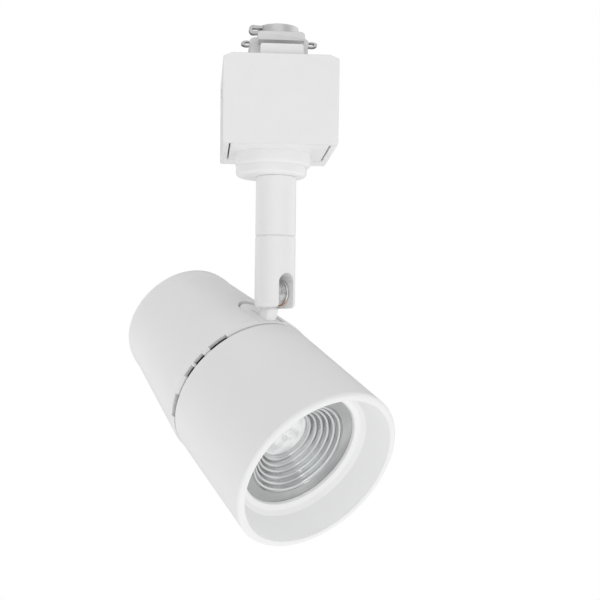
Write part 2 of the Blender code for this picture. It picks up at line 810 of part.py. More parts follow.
def make_hinge(looks, tilt_axis):
    """The steel knuckle in the fork's slot and the painted neck that carries the head."""
    half = SLOT_WIDTH / 2 - GAP
    knuckle = rod(
        "hinge_knuckle",
        KNUCKLE_RADIUS,
        (-half, 0, 0),
        (1.6 * MM, 0, 0),
        looks["spring_steel"],
        tilt_axis,
        28,
    )
    lean = on_head(0, 41.0 * MM, 25.9 * MM).normalized()
    shank_end = lean * 9.6 * MM
    shank = block(
        "knuckle_shank",
        (-1.1 * MM, -1.2 * MM, -9.0 * MM),
        (1.1 * MM, 1.2 * MM, -1.0 * MM),
        None,
        tilt_axis,
    )
    bore = rod("knuckle_bore_cutter", 1.5 * MM + GAP, (-4 * MM, 0, 0), (4 * MM, 0, 0), None, tilt_axis)
    tip = Vector((0, 0, -1)).rotation_difference(shank_end)
    shank.rotation_mode = "QUATERNION"
    shank.rotation_quaternion = tip
    add(knuckle, shank)
    cut(knuckle, bore)
    turned(
        "hinge_friction_washer",
        [
            (1.5 * MM + GAP, 1.9 * MM),
            (KNUCKLE_RADIUS + 0.1 * MM, 1.9 * MM),
            (KNUCKLE_RADIUS + 0.1 * MM, 2.5 * MM),
            (1.5 * MM + GAP, 2.5 * MM),
        ],
        looks["bronze"],
        tilt_axis,
        steps=24,
        frame=Matrix.Rotation(math.radians(90), 4, "Y"),
    )
    plate_half = POCKET_HALF_WIDTH - GAP
    neck = head_block(
        "neck_bracket",
        (-plate_half, PLATE_END_STATION, POCKET_FLOOR + GAP),
        (plate_half, REAR_END - 0.5 * MM, 28 * MM),
        looks["white_paint"],
        tilt_axis,
    )
    plate_end = rod(
        "neck_plate_end",
        plate_half,
        on_head(0, PLATE_END_STATION, POCKET_FLOOR + GAP),
        on_head(0, PLATE_END_STATION, 28 * MM),
        None,
        tilt_axis,
        24,
    )
    first = 20 * MM
    last = 50 * MM
    skin = turned(
        "plate_skin_cutter",
        [
            (rear_radius(first) - PLATE_SINK, first),
            (rear_radius(last) - PLATE_SINK, last),
            (40 * MM, last),
            (40 * MM, first),
        ],
        None,
        tilt_axis,
        96,
        axial_frame(),
    )
    post = block(
        "neck_post",
        (-2.2 * MM, -2.3 * MM, -12.0 * MM),
        (2.2 * MM, 2.3 * MM, -KNUCKLE_RADIUS - 0.6 * MM),
        None,
        tilt_axis,
        bevel=0.9 * MM,
    )
    socket = block(
        "neck_socket_cutter",
        (-1.1 * MM - GAP, -1.2 * MM - GAP, -9.0 * MM - GAP),
        (1.1 * MM + GAP, 1.2 * MM + GAP, -3.0 * MM),
        None,
        tilt_axis,
    )
    for piece in (post, socket):
        piece.rotation_mode = "QUATERNION"
        piece.rotation_quaternion = tip
    knuckle_room = rod(
        "knuckle_room_cutter", KNUCKLE_RADIUS + GAP, (-4 * MM, 0, 0), (4 * MM, 0, 0), None, tilt_axis, 28
    )
    add(neck, plate_end)
    cut(neck, skin)
    add(neck, post)
    cut(neck, socket)
    cut(neck, knuckle_room)
    for number, station in enumerate(NECK_SCREW_STATIONS, start=1):
        hole = rod(
            f"neck_screw_hole_cutter_{number}",
            1.0 * MM + GAP,
            on_head(0, station, POCKET_FLOOR - 1 * MM),
            on_head(0, station, POCKET_FLOOR + 1.9 * MM),
            None,
            tilt_axis,
            12,
        )
        cut(neck, hole)
        headed_screw(
            f"neck_screw_{number}",
            on_head(0, station, POCKET_FLOOR - 3.4 * MM),
            on_head(0, station, POCKET_FLOOR + 1.6 * MM),
            1.0 * MM,
            1.9 * MM,
            1.2 * MM,
            looks["nickel"],
            tilt_axis,
        )


def column_point(angle, station):
    turn = math.radians(angle)
    return on_head(COLUMN_RADIUS * math.sin(turn), station, COLUMN_RADIUS * math.cos(turn))


def make_rear_housing(looks, tilt_axis):
    start_radius = rear_radius(REAR_ROUND_LENGTH)
    outline = [(0, 0)]
    outline += [
        (start_radius - REAR_ROUND_DEPTH * (1 - x), REAR_ROUND_LENGTH * (1 - z))
        for z, x in arc((0, 0), 1, 0, 90, 6)
    ]
    outline += [
        (rear_radius(REAR_END), REAR_END),
        (rear_radius(REAR_END) - REAR_WALL, REAR_END),
        (start_radius - REAR_WALL, REAR_ROUND_LENGTH),
        (start_radius - REAR_WALL - 2 * MM, 2.2 * MM),
        (0, 2.2 * MM),
    ]
    frame = axial_frame()
    housing = turned("rear_housing", outline, looks["white_paint"], tilt_axis, 48, frame)
    pad = head_block(
        "pocket_pad",
        (-POCKET_HALF_WIDTH - 1.6 * MM, POCKET_BACK - 1.6 * MM, POCKET_FLOOR - 1.8 * MM),
        (POCKET_HALF_WIDTH + 1.6 * MM, REAR_END - 0.4 * MM, POCKET_FLOOR + 0.6 * MM),
        None,
        tilt_axis,
    )
    add(housing, pad)
    for index, angle in enumerate(COLUMN_ANGLES, start=1):
        column = rod(
            f"column_{index}",
            4.3 * MM,
            column_point(angle, 31.0 * MM),
            column_point(angle, REAR_END - 0.4 * MM),
            None,
            tilt_axis,
        )
        hole = rod(
            f"column_cutter_{index}",
            1.1 * MM + GAP,
            column_point(angle, 33.0 * MM),
            column_point(angle, REAR_END + 1 * MM),
            None,
            tilt_axis,
            12,
        )
        add(housing, column)
        cut(housing, hole)
    arc_station = POCKET_BACK + POCKET_HALF_WIDTH
    pocket = head_block(
        "pocket_cutter",
        (-POCKET_HALF_WIDTH, arc_station, POCKET_FLOOR),
        (POCKET_HALF_WIDTH, REAR_END + 1 * MM, 32 * MM),
        None,
        tilt_axis,
    )
    pocket_end = rod(
        "pocket_end_cutter",
        POCKET_HALF_WIDTH,
        on_head(0, arc_station, POCKET_FLOOR),
        on_head(0, arc_station, 32 * MM),
        None,
        tilt_axis,
        24,
    )
    cut(housing, pocket)
    cut(housing, pocket_end)
    for number, station in enumerate(NECK_SCREW_STATIONS, start=1):
        hole = rod(
            f"pad_hole_cutter_{number}",
            1.0 * MM + GAP,
            on_head(0, station, POCKET_FLOOR - 3 * MM),
            on_head(0, station, POCKET_FLOOR + 1 * MM),
            None,
            tilt_axis,
            12,
        )
        cut(housing, hole)


def make_vent_ring(looks, tilt_axis):
    outer = rear_radius(REAR_END) - 0.7 * MM
    ring = turned(
        "vent_ring",
        [
            (23.0 * MM, REAR_END + GAP),
            (outer, REAR_END + GAP),
            (outer, FRONT_START - GAP),
            (23.0 * MM, FRONT_START - GAP),
        ],
        looks["white_plastic"],
        tilt_axis,
        48,
        axial_frame(),
    )
    for side in (-1, 1):
        for index, (start, end) in enumerate(VENTS):
            turn = math.radians(side * (start + end) / 2)
            half_width = outer * math.sin(math.radians(end - start) / 2)
            middle = on_head(outer * math.sin(turn), (REAR_END + FRONT_START) / 2, outer * math.cos(turn))
            shape = block(
                f"vent_cutter_{side}_{index}",
                (-half_width, -2 * MM, -1.6 * MM),
                (half_width, 2 * MM, 2 * MM),
                None,
                tilt_axis,
            )
            shape.location = middle
            shape.rotation_euler = (0, turn, 0)
            cut(ring, shape)


def make_heat_sink(looks, tilt_axis):
    frame = axial_frame()
    sink = turned(
        "heat_sink",
        [
            (0, SINK_BASE_START),
            (24.1 * MM, SINK_BASE_START),
            (24.1 * MM, SINK_BASE_END),
            (0, SINK_BASE_END),
        ],
        looks["cast_aluminium"],
        tilt_axis,
        40,
        frame,
    )
    fin_half = 0.8 * MM
    for index in range(-2, 3):
        middle = index * 5.0 * MM
        reach = math.sqrt((13.5 * MM) ** 2 - middle**2)
        fin = head_block(
            f"fin_{index + 2}",
            (middle - fin_half, 16.0 * MM, -reach),
            (middle + fin_half, SINK_BASE_START + 1 * MM, reach),
            None,
            tilt_axis,
        )
        add(sink, fin)
    for index, angle in enumerate(COLUMN_ANGLES, start=1):
        hole = rod(
            f"sink_hole_cutter_{index}",
            1.1 * MM + GAP,
            column_point(angle, SINK_BASE_START - 1 * MM),
            column_point(angle, SINK_BASE_END + 1 * MM),
            None,
            tilt_axis,
            12,
        )
        cut(sink, hole)
        headed_screw(
            f"head_screw_{index}",
            column_point(angle, SINK_BASE_END + GAP + 1.4 * MM),
            column_point(angle, 34.5 * MM),
            1.1 * MM,
            2.0 * MM,
            1.4 * MM,
            looks["nickel"],
            tilt_axis,
        )
    lead_hole = rod(
        "sink_lead_cutter",
        1.6 * MM,
        on_head(2.5 * MM, SINK_BASE_START - 1 * MM, 15.0 * MM),
        on_head(2.5 * MM, SINK_BASE_END + 1 * MM, 15.0 * MM),
        None,
        tilt_axis,
        12,
    )
    cut(sink, lead_hole)
    block_side = 9.0 * MM
    head_block(
        "led_board",
        (-block_side, SINK_BASE_END + GAP, -block_side),
        (block_side, SINK_BASE_END + GAP + 1.4 * MM, block_side),
        looks["led_board"],
        tilt_axis,
    )
    turned(
        "led_emitter",
        [
            (0, SINK_BASE_END + 2 * GAP + 1.4 * MM),
            (5.6 * MM, SINK_BASE_END + 2 * GAP + 1.4 * MM),
            (5.6 * MM, SINK_BASE_END + 2 * GAP + 2.3 * MM),
            (0, SINK_BASE_END + 2 * GAP + 2.3 * MM),
        ],
        looks["phosphor"],
        tilt_axis,
        24,
        frame,
    )
    swept_wire(
        "led_lead",
        [
            on_head(2.5 * MM, 37.4 * MM, 16.0 * MM),
            on_head(2.5 * MM, 41.4 * MM, 15.4 * MM),
            on_head(2.5 * MM, 45.4 * MM, 15.0 * MM),
            on_head(2.5 * MM, 49.4 * MM, 15.0 * MM),
            on_head(2.5 * MM, 51.4 * MM, 14.2 * MM),
            on_head(2.5 * MM, 52.4 * MM, 12.6 * MM),
            on_head(2.5 * MM, 52.7 * MM, 10.4 * MM),
        ],
        0.9 * MM,
        looks["brown_lead"],
        tilt_axis,
    )


def make_front_shade(looks, tilt_axis):
    wall = 2.0 * MM
    flange_start = SINK_BASE_END + GAP
    outline = [
        (FRONT_START_RADIUS - FRONT_START_ROUND, FRONT_START),
        (FRONT_START_RADIUS - 0.3 * FRONT_START_ROUND, FRONT_START + 0.3 * FRONT_START_ROUND),
        (front_radius(FRONT_START + FRONT_START_ROUND), FRONT_START + FRONT_START_ROUND),
        (front_radius(FRONT_END - LIP_ROUND), FRONT_END - LIP_ROUND),
    ]
    edge = FRONT_END_RADIUS - LIP_ROUND
    outline += [(edge + x, FRONT_END - LIP_ROUND + z) for x, z in arc((0, 0), LIP_ROUND, 12, 90, 5)]
    outline += [
        (FRONT_END_RADIUS - LIP + 0.3 * MM, FRONT_END),
        (FRONT_END_RADIUS - LIP, FRONT_END - 0.4 * MM),
        (FRONT_END_RADIUS - LIP, FRONT_END - 2.4 * MM),
        (front_radius(FRONT_END - 5 * MM) - wall, FRONT_END - 5 * MM),
        (front_radius(flange_start + 2 * MM) - wall, flange_start + 2 * MM),
        (22.1 * MM, flange_start + 2 * MM),
        (22.1 * MM, flange_start),
        (front_radius(flange_start) - wall, flange_start),
        (FRONT_START_RADIUS - wall, FRONT_START),
    ]
    turned("front_shade", outline, looks["white_paint"], tilt_axis, 48, axial_frame())


def make_optics(looks, tilt_axis):
    frame = axial_frame()
    lens_plane = FRONT_END - LENS_DEPTH
    baffle_foot = FRONT_END - BAFFLE_DEPTH
    rim = FRONT_END_RADIUS - LIP - GAP
    turned(
        "glare_baffle",
        [
            (rim, FRONT_END - 0.5 * MM),
            (rim, FRONT_END - 2.6 * MM),
            (BAFFLE_RADIUS + 1.6 * MM, baffle_foot - 0.6 * MM),
            (BAFFLE_RADIUS + 0.4 * MM, lens_plane - 1.2 * MM),
            (LENS_RADIUS + GAP, lens_plane - 1.2 * MM),
            (LENS_RADIUS + GAP, lens_plane + GAP),
            (LENS_OPENING, lens_plane + GAP),
            (LENS_OPENING + 0.3 * MM, lens_plane + 0.9 * MM),
            (BAFFLE_RADIUS - 1.4 * MM, baffle_foot - 0.9 * MM),
            (BAFFLE_RADIUS - 0.4 * MM, baffle_foot - 0.3 * MM),
            (BAFFLE_RADIUS, baffle_foot + 0.5 * MM),
            (rim - 0.5 * MM, FRONT_END - 0.5 * MM),
        ],
        looks["white_plastic"],
        tilt_axis,
        48,
        frame,
    )
    turned(
        "lens",
        [
            (0, WINDOW_STATION),
            (WINDOW_RADIUS, WINDOW_STATION),
            (16.8 * MM, lens_plane - 0.8 * MM),
            (LENS_RADIUS, lens_plane),
            (LENS_RADIUS, lens_plane - 2.2 * MM),
            (19.8 * MM, lens_plane - 2.6 * MM),
            (8.6 * MM, 55.0 * MM),
            (7.0 * MM, 55.0 * MM),
            (6.4 * MM, 59.2 * MM),
            (0, 59.2 * MM),
        ],
        looks["lens"],
        tilt_axis,
        40,
        frame,
    )
    turned(
        "lens_holder",
        [
            (20.3 * MM, lens_plane - 2.6 * MM - GAP),
            (22.4 * MM, lens_plane - 2.6 * MM - GAP),
            (22.4 * MM, lens_plane - 6.0 * MM),
            (13.6 * MM, 56.4 * MM),
            (13.6 * MM, 54.2 * MM),
            (11.5 * MM, 54.2 * MM),
            (11.5 * MM, 56.8 * MM),
        ],
        looks["dark_plastic"],
        tilt_axis,
        32,
        frame,
    )


def make_looks():
    return {
        "white_plastic": material("White moulded plastic", (0.80, 0.80, 0.79), 0.45),
        "white_paint": material("White powder paint", (0.78, 0.78, 0.78), 0.5),
        "grey_plastic": material("Grey moulded plastic", (0.42, 0.42, 0.43), 0.5),
        "dark_plastic": material("Dark plastic", (0.04, 0.04, 0.045), 0.5),
        "nickel": material("Nickel plate", (0.62, 0.60, 0.57), 0.28, 1.0),
        "spring_steel": material("Spring steel", (0.50, 0.50, 0.50), 0.35, 1.0),
        "bronze": material("Bronze", (0.55, 0.33, 0.20), 0.35, 1.0),
        "cast_aluminium": material("Cast aluminium", (0.66, 0.67, 0.68), 0.45, 1.0),
        "circuit_board": material("Circuit board", (0.05, 0.22, 0.10), 0.5),
        "led_board": material("White LED board", (0.75, 0.76, 0.74), 0.4),
        "phosphor": material("Phosphor", (0.85, 0.72, 0.25), 0.45),
        "brown_lead": material("Brown insulation", (0.20, 0.09, 0.04), 0.5),
        "blue_lead": material("Blue insulation", (0.05, 0.12, 0.40), 0.5),
        "lens": material("Clear lens", (0.72, 0.74, 0.75), 0.15),
    }


def main():
    clear_scene()
    looks = make_looks()
    make_adapter_housing(looks)
    make_bottom_cover(looks)
    make_side_screws(looks)
    make_locking_tab(looks)
    make_tab_spring(looks)
    make_contact_carrier(looks)
    make_contacts(looks)
    make_driver(looks)
    make_stem(looks)
    pan_axis = add_empty("pan_axis", (0, 0, 0), (0, 0, PAN))
    make_swivel(looks, pan_axis)
    make_fork(looks, pan_axis)
    tilt_axis = add_empty("tilt_axis", (0, 0, HINGE_Z), (TILT, 0, 0), pan_axis)
    make_hinge(looks, tilt_axis)
    make_rear_housing(looks, tilt_axis)
    make_vent_ring(looks, tilt_axis)
    make_heat_sink(looks, tilt_axis)
    make_front_shade(looks, tilt_axis)
    make_optics(looks, tilt_axis)


main()
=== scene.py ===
"""The looks of a track spotlight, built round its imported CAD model."""

import json
import math

import bmesh
import bpy
from mathutils import Matrix, Vector


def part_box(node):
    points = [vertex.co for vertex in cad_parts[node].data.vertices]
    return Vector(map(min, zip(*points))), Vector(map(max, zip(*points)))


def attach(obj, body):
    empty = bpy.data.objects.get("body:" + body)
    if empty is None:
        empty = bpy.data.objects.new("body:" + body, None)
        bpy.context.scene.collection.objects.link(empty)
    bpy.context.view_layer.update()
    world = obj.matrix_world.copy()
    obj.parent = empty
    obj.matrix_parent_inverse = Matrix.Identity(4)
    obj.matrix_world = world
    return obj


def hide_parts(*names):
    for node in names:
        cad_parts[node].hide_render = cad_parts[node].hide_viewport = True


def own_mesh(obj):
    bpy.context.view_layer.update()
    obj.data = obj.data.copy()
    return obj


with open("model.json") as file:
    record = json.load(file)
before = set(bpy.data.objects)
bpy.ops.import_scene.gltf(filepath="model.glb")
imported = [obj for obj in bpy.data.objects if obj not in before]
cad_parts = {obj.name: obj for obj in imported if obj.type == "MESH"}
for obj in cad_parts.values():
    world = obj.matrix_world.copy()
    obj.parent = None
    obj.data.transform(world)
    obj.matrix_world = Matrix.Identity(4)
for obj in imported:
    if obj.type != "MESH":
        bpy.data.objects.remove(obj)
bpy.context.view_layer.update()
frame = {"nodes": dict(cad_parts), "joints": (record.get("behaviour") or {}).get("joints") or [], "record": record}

MM = 0.001
WELD = 3e-6  # metres: points closer than this are one point
OWN_PLACE = "own_place"  # the attribute that keeps each point's place in its piece's own frame

# ---------------------------------------------------------------- sizes (millimetres)

# Adapter: X across the track, Y along it, Z up from the housing's top.
HALF_WIDTH = 18.0
HALF_LENGTH = 21.0
HEIGHT = 28.1
WALL = 2.2
FRONT_WALL = 1.5
COVER_TOP = -26.1
COVER_END = 11.0
SCREW_Y = 1.0
SCREW_Z = -8.2
PIN_HOLE_Z = -12.2
SHOULDER = -2.8  # where the locking tab widens under the housing's top
TAB_THICKNESS = 2.2

# Strip contacts: side, height, loop height, near end, reach, root, nose stretch, strip thickness.
CONTACTS = {
    "contact_upper_left": (-1, 11.6, 2.9, -4.6, 9.6, 5.0, 1.0, 1.0),
    "contact_lower_left": (-1, 7.2, 1.75, -4.0, 12.0, 8.0, 2.1, 0.4),
    "contact_lower_right": (1, 7.3, 1.75, -4.0, 12.5, 8.0, 2.1, 0.4),
}
CONTACT_WIDTH = 2.6

# Stem: its axis is the CAD's Z axis.
STEM_RADIUS = 6.5
NIPPLE_RADIUS = 4.5
STEM_HOLE = 5.1
COLLAR_SHIFT = -1.15
COLLAR_STEP_SHIFT = -1.6
SWIVEL_TOP = -54.5
SWIVEL_FOOT = -54.9
FORK_FOOT = -77.7
SLOT_LOW, SLOT_HIGH = -3.0, 2.7  # the slot's two sides
SLOT_TOP = -69.6  # the middle of its round top
PIN_RADIUS = 1.8

# Head: stations run along its axis from its back, and heights from its axis.
HINGE_STATION = 39.6
HINGE_HEIGHT = 34.6
KNUCKLE = 4.0
REAR_RADIUS = 20.3
REAR_TAPER = 0.148
REAR_END = 43.5
FRONT_START = 45.1
FRONT_START_RADIUS = 26.5
FRONT_END = 89.3
FRONT_END_RADIUS = 29.05
SHADE_WALL = 2.0
LIP = 2.6
VENTS = ((38.5, 53), (59, 67.5), (69.7, 78.6), (93, 112))  # degrees from the top, on both sides
POCKET_FLOOR = 22.2
POCKET_HALF = 5.3
POCKET_BACK = 27.9
PLATE_END = 33.9
PLATE_SINK = 0.5  # how far the plate lies below the housing's skin
POST_STATION = 41.0  # where the neck's post meets its foot plate
POST_HEIGHT = 25.9
LENS_PLANE = 77.6
WINDOW = 68.8
WINDOW_RADIUS = 8.4
LENS_STEPS = 6
LENS_STEPS_END = 16.8
LENS_PITCH = (LENS_STEPS_END - WINDOW_RADIUS) / LENS_STEPS

# The place of each turned or tilted part comes from the CAD's tilt joint.
TILT = math.radians(33.2)  # how far the head's front dips at rest
tilt = next(joint for joint in frame["joints"] if joint["name"] == "tilt")
HEADING = math.atan2(tilt["axis"][1], tilt["axis"][0])
HINGE_Z = tilt["pos_m"][2] / MM
fork_place = Matrix.Rotation(HEADING, 4, "Z")
head_place = Matrix.Translation(tilt["pos_m"]) @ fork_place @ Matrix.Rotation(TILT, 4, "X")
axial_place = (  # Z runs forward along the head's axis, and Y up
    head_place
    @ Matrix.Translation(Vector((0, HINGE_STATION, -HINGE_HEIGHT)) * MM)
    @ Matrix.Rotation(math.radians(90), 4, "X")
)


def rear_radius(station):
    """The rear housing's outer radius, which grows evenly to the front."""
    return REAR_RADIUS + REAR_TAPER * station


def front_radius(station):
    """The front shade's outer radius."""
    share = (station - FRONT_START) / (FRONT_END - FRONT_START)
    return FRONT_START_RADIUS + (FRONT_END_RADIUS - FRONT_START_RADIUS) * share


def on_head(side, station, top):
    """A point of the head in the hinge's own frame."""
    return Vector((side, HINGE_STATION - station, top - HINGE_HEIGHT))


neck_lean = on_head(0, POST_STATION, POST_HEIGHT).normalized()
neck_tip = Vector((0, 0, -1)).rotation_difference(neck_lean).to_matrix().to_4x4()


# ---------------------------------------------------------------- materials


class Nodes:
    """A material's or world's node tree, with its nodes made and wired in one call each."""

    def __init__(self, owner, place="Object"):
        owner.use_nodes = True
        self.owner = owner
        self.tree = owner.node_tree
        self.place = self.make("ShaderNodeTexCoord").outputs[place]

    def make(self, kind, **inputs):
        node = self.tree.nodes.new(kind)
        for name, value in inputs.items():
            self.feed(node.inputs[name.replace("_", " ")], value)
        return node

    def feed(self, socket, value):
        """Link a socket to another one, or set its value."""
        if isinstance(value, bpy.types.NodeSocket):
            self.tree.links.new(value, socket)
        else:
            socket.default_value = value

    def put(self, name, value):
        self.feed(self.tree.nodes["Principled BSDF"].inputs[name], value)

    def stretched(self, scale):
        return self.make("ShaderNodeMapping", Vector=self.place, Scale=scale).outputs["Vector"]

    def noise(self, scale, detail=3.0, rough=0.5, where=None):
        node = self.make(
            "ShaderNodeTexNoise",
            Vector=where or self.place,
            Scale=scale,
            Detail=detail,
            Roughness=rough,
        )
        return node.outputs["Fac"]

    def spread(self, value, low, high, new_low=0.0, new_high=1.0):
        """Map a value from one range to another, clamped to its ends."""
        node = self.make(
            "ShaderNodeMapRange",
            Value=value,
            From_Min=low,
            From_Max=high,
            To_Min=new_low,
            To_Max=new_high,
        )
        return node.outputs["Result"]

    def maths(self, kind, *values):
        node = self.tree.nodes.new("ShaderNodeMath")
        node.operation = kind
        for index, value in enumerate(values):
            self.feed(node.inputs[index], value)
        return node.outputs[0]

    def blend(self, share, first, second):
        """Mix two colours, each a socket or three numbers."""
        node = self.tree.nodes.new("ShaderNodeMix")
        node.data_type = "RGBA"
        self.feed(node.inputs[0], share)
        for socket, value in ((node.inputs[6], first), (node.inputs[7], second)):
            linked = isinstance(value, bpy.types.NodeSocket)
            self.feed(socket, value if linked else (*value, 1.0))
        return node.outputs[2]

    def choose(self, switch, off, on):
        """One of two numbers, by a switch that is 0 or 1."""
        node = self.tree.nodes.new("ShaderNodeMix")
        node.data_type = "FLOAT"
        self.feed(node.inputs[0], switch)
        self.feed(node.inputs[2], off)
        self.feed(node.inputs[3], on)
        return node.outputs[0]

    def bump(self, height, strength, distance, under=None):
        node = self.make("ShaderNodeBump", Height=height, Strength=strength, Distance=distance)
        if under is not None:
            self.feed(node.inputs["Normal"], under)
        return node.outputs["Normal"]

    def rounded(self, radius):
        """A normal that catches the light along sharp edges, as a small radius would."""
        node = self.make("ShaderNodeBevel", Radius=radius)
        node.samples = 4
        return node.outputs["Normal"]

    def turned_place(self):
        """A point's distance from its piece's own axis, its angle round it and its height."""
        node = self.tree.nodes.new("ShaderNodeAttribute")
        node.attribute_name = OWN_PLACE
        split = self.make("ShaderNodeSeparateXYZ", Vector=node.outputs["Vector"])
        x, y, height = split.outputs
        squares = [self.maths("MULTIPLY", part, part) for part in (x, y)]
        out = self.maths("SQRT", self.maths("ADD", *squares))
        return out, self.maths("ARCTAN2", y, x), height

    def edges(self, low, high):
        """1 along the outer edges of a piece and 0 on its flats."""
        point = self.make("ShaderNodeNewGeometry").outputs["Pointiness"]
        return self.spread(point, low, high)


def new_nodes(name):
    """The nodes of a new material."""
    return Nodes(bpy.data.materials.new(name))


def brighter(colour, share):
    """A colour times a share, below full white."""
    return tuple(min(1.0, part * share) for part in colour)


def painted(name, colour, shade, grain=0.35, roughness=0.42, wear=0.25):
    """Fine powder paint: orange-peel skin, uneven tone and gloss, worn edges, painted shade in its hollows."""
    made = new_nodes(name)
    tone = made.spread(made.noise(26.0, 4.0, 0.6), 0.35, 0.65)
    paint = made.blend(tone, colour, shade)
    scuffs = made.noise(170.0, 5.0, 0.62)
    worn = made.spread(scuffs, 0.45, 0.7, 0.0, wear)
    thin = made.maths("MULTIPLY", made.edges(0.52, 0.60), worn)
    paint = made.blend(thin, paint, brighter(colour, 1.08))
    # Painted shade: the paint turns darker in concave hollows and creases.
    hollow_shade = made.maths("MULTIPLY", made.edges(0.49, 0.44), 0.35)
    made.put("Base Color", made.blend(hollow_shade, paint, brighter(shade, 0.86)))
    peel = made.bump(made.noise(2300.0, 2.0, 0.5), grain, 0.00003, made.rounded(0.00022))
    swell = made.bump(made.noise(420.0, 2.0, 0.4), grain * 0.35, 0.00005, peel)
    made.put("Normal", swell)
    gloss = made.spread(scuffs, 0.3, 0.7, roughness - 0.06, roughness + 0.08)
    made.put("Roughness", gloss)
    made.put("Coat Weight", 0.06)
    made.put("Coat Roughness", 0.3)
    return made.owner


def moulded(name, colour, shade, roughness=0.4, grain=0.25, glow=0.06, metallic=0.0):
    """Moulded plastic: a spark-eroded skin and faint flow marks, silvered where metallic."""
    made = new_nodes(name)
    flow = made.noise(30.0, 3.0, 0.55, made.stretched((1.0, 1.0, 0.35)))
    plastic = made.blend(made.spread(flow, 0.35, 0.65), colour, shade)
    worn = made.spread(made.noise(220.0), 0.4, 0.7, 0.0, 0.3)
    rubbed = made.maths("MULTIPLY", made.edges(0.52, 0.62), worn)
    made.put("Base Color", made.blend(rubbed, plastic, brighter(colour, 1.1)))
    pits = made.make("ShaderNodeTexVoronoi", Vector=made.place, Scale=3200.0).outputs["Distance"]
    skin = made.bump(pits, grain, 0.00002, made.rounded(0.00018))
    made.put("Normal", made.bump(made.noise(300.0, 2.0), grain * 0.15, 0.00004, skin))
    patches = made.noise(140.0, 4.0)
    made.put("Roughness", made.spread(patches, 0.3, 0.7, roughness - 0.05, roughness + 0.08))
    made.put("Metallic", metallic)
    made.put("Subsurface Weight", glow)
    made.put("Subsurface Radius", (0.001, 0.001, 0.001))
    made.put("Subsurface Scale", 1.0)
    return made.owner


def plated(name, colour, shade, roughness, streak=(1.0, 1.0, 1.0), depth=0.2):
    """Bright metal with fine drawing or turning marks and faint tarnish."""
    made = new_nodes(name)
    cloud = made.spread(made.noise(260.0, 4.0, 0.6), 0.35, 0.7)
    made.put("Base Color", made.blend(cloud, colour, shade))
    made.put("Metallic", 1.0)
    lines = made.noise(1500.0, 2.0, 0.5, made.stretched(streak))
    made.put("Normal", made.bump(lines, depth, 0.00002))
    made.put("Roughness", made.spread(lines, 0.3, 0.7, roughness - 0.06, roughness + 0.1))
    return made.owner


def turned_metal(name, colour, shade, roughness, pitch):
    """Metal with turning marks, a pitch in metres apart, round the piece's own axis."""
    made = new_nodes(name)
    out, _, height = made.turned_place()
    along = made.maths("MULTIPLY", made.maths("ADD", out, height), 2 * math.pi / pitch)
    ridge = made.maths("SINE", along)
    worn = made.noise(500.0, 3.0)
    lines = made.maths("MULTIPLY", made.spread(ridge, -1.0, 1.0), worn)
    made.put("Base Color", made.blend(made.spread(worn, 0.35, 0.65), colour, shade))
    made.put("Metallic", 1.0)
    made.put("Normal", made.bump(lines, 0.3, 0.00003))
    made.put("Roughness", made.spread(worn, 0.3, 0.7, roughness - 0.05, roughness + 0.12))
    return made.owner


def lens_material():
    """Clear stepped acrylic over a metallised cup, a milky window in the middle, painted dark reflections on its
    steps.
    """
    made = new_nodes("Stepped lens with painted reflections")
    out, turn, _ = made.turned_place()

    def swept(turns, rings):
        """Coordinates whose noise is drawn out round the axis."""
        across = made.maths("MULTIPLY", turn, turns)
        outward = made.maths("MULTIPLY", out, rings)
        return made.make("ShaderNodeCombineXYZ", X=across, Y=outward, Z=0.0).outputs[0]

    # Arcs drawn out round the axis streak the painted dark reflections, and set the steps' gloss and bumps.
    arcs = made.noise(1.6, 3.0, 0.55, swept(0.9, 1500.0))
    streaked_reflection = made.spread(made.spread(arcs, 0.40, 0.60), 0.0, 1.0, 0.55, 1.0)

    # Painted reflection: each step's riser is painted dark, darkest in two crescents of painted shade on opposite
    # sides of the axis.
    inward = made.maths("SUBTRACT", LENS_STEPS_END * MM, out)
    step = made.maths("FRACT", made.maths("DIVIDE", inward, LENS_PITCH * MM))
    riser_reflection = made.spread(step, 0.35, 0.62, 1.0, 0.0)
    lobes = made.maths("SINE", made.maths("ADD", made.maths("MULTIPLY", turn, 2.0), 3.39))
    shade_crescent = made.spread(lobes, -0.7, 0.7, 1.0, 0.2)
    painted_dark = made.maths("MULTIPLY", riser_reflection, made.maths("MULTIPLY", shade_crescent, streaked_reflection))
    stepped = made.blend(painted_dark, (0.66, 0.675, 0.675), (0.03, 0.034, 0.036))

    cloud = made.spread(made.noise(60.0, 3.0), 0.35, 0.65)
    ring = made.blend(cloud, (0.44, 0.45, 0.45), (0.34, 0.35, 0.35))
    past_steps = made.spread(out, 0.0166, 0.0169)
    haze = made.spread(made.noise(1.7, 2.0, 0.5, swept(0.7, 190.0)), 0.42, 0.62)
    milky = made.blend(haze, (0.97, 0.98, 0.98), (0.74, 0.76, 0.76))
    past_window = made.spread(out, 0.0080, 0.0086)
    made.put("Base Color", made.blend(past_window, milky, made.blend(past_steps, stepped, ring)))
    made.put("Metallic", made.spread(out, 0.0080, 0.0086, 0.0, 0.7))
    made.put("Roughness", made.spread(arcs, 0.3, 0.7, 0.08, 0.2))
    made.put("Coat Weight", 1.0)
    made.put("Coat Roughness", 0.04)
    made.put("Normal", made.bump(arcs, 0.12, 0.0001))
    return made.owner


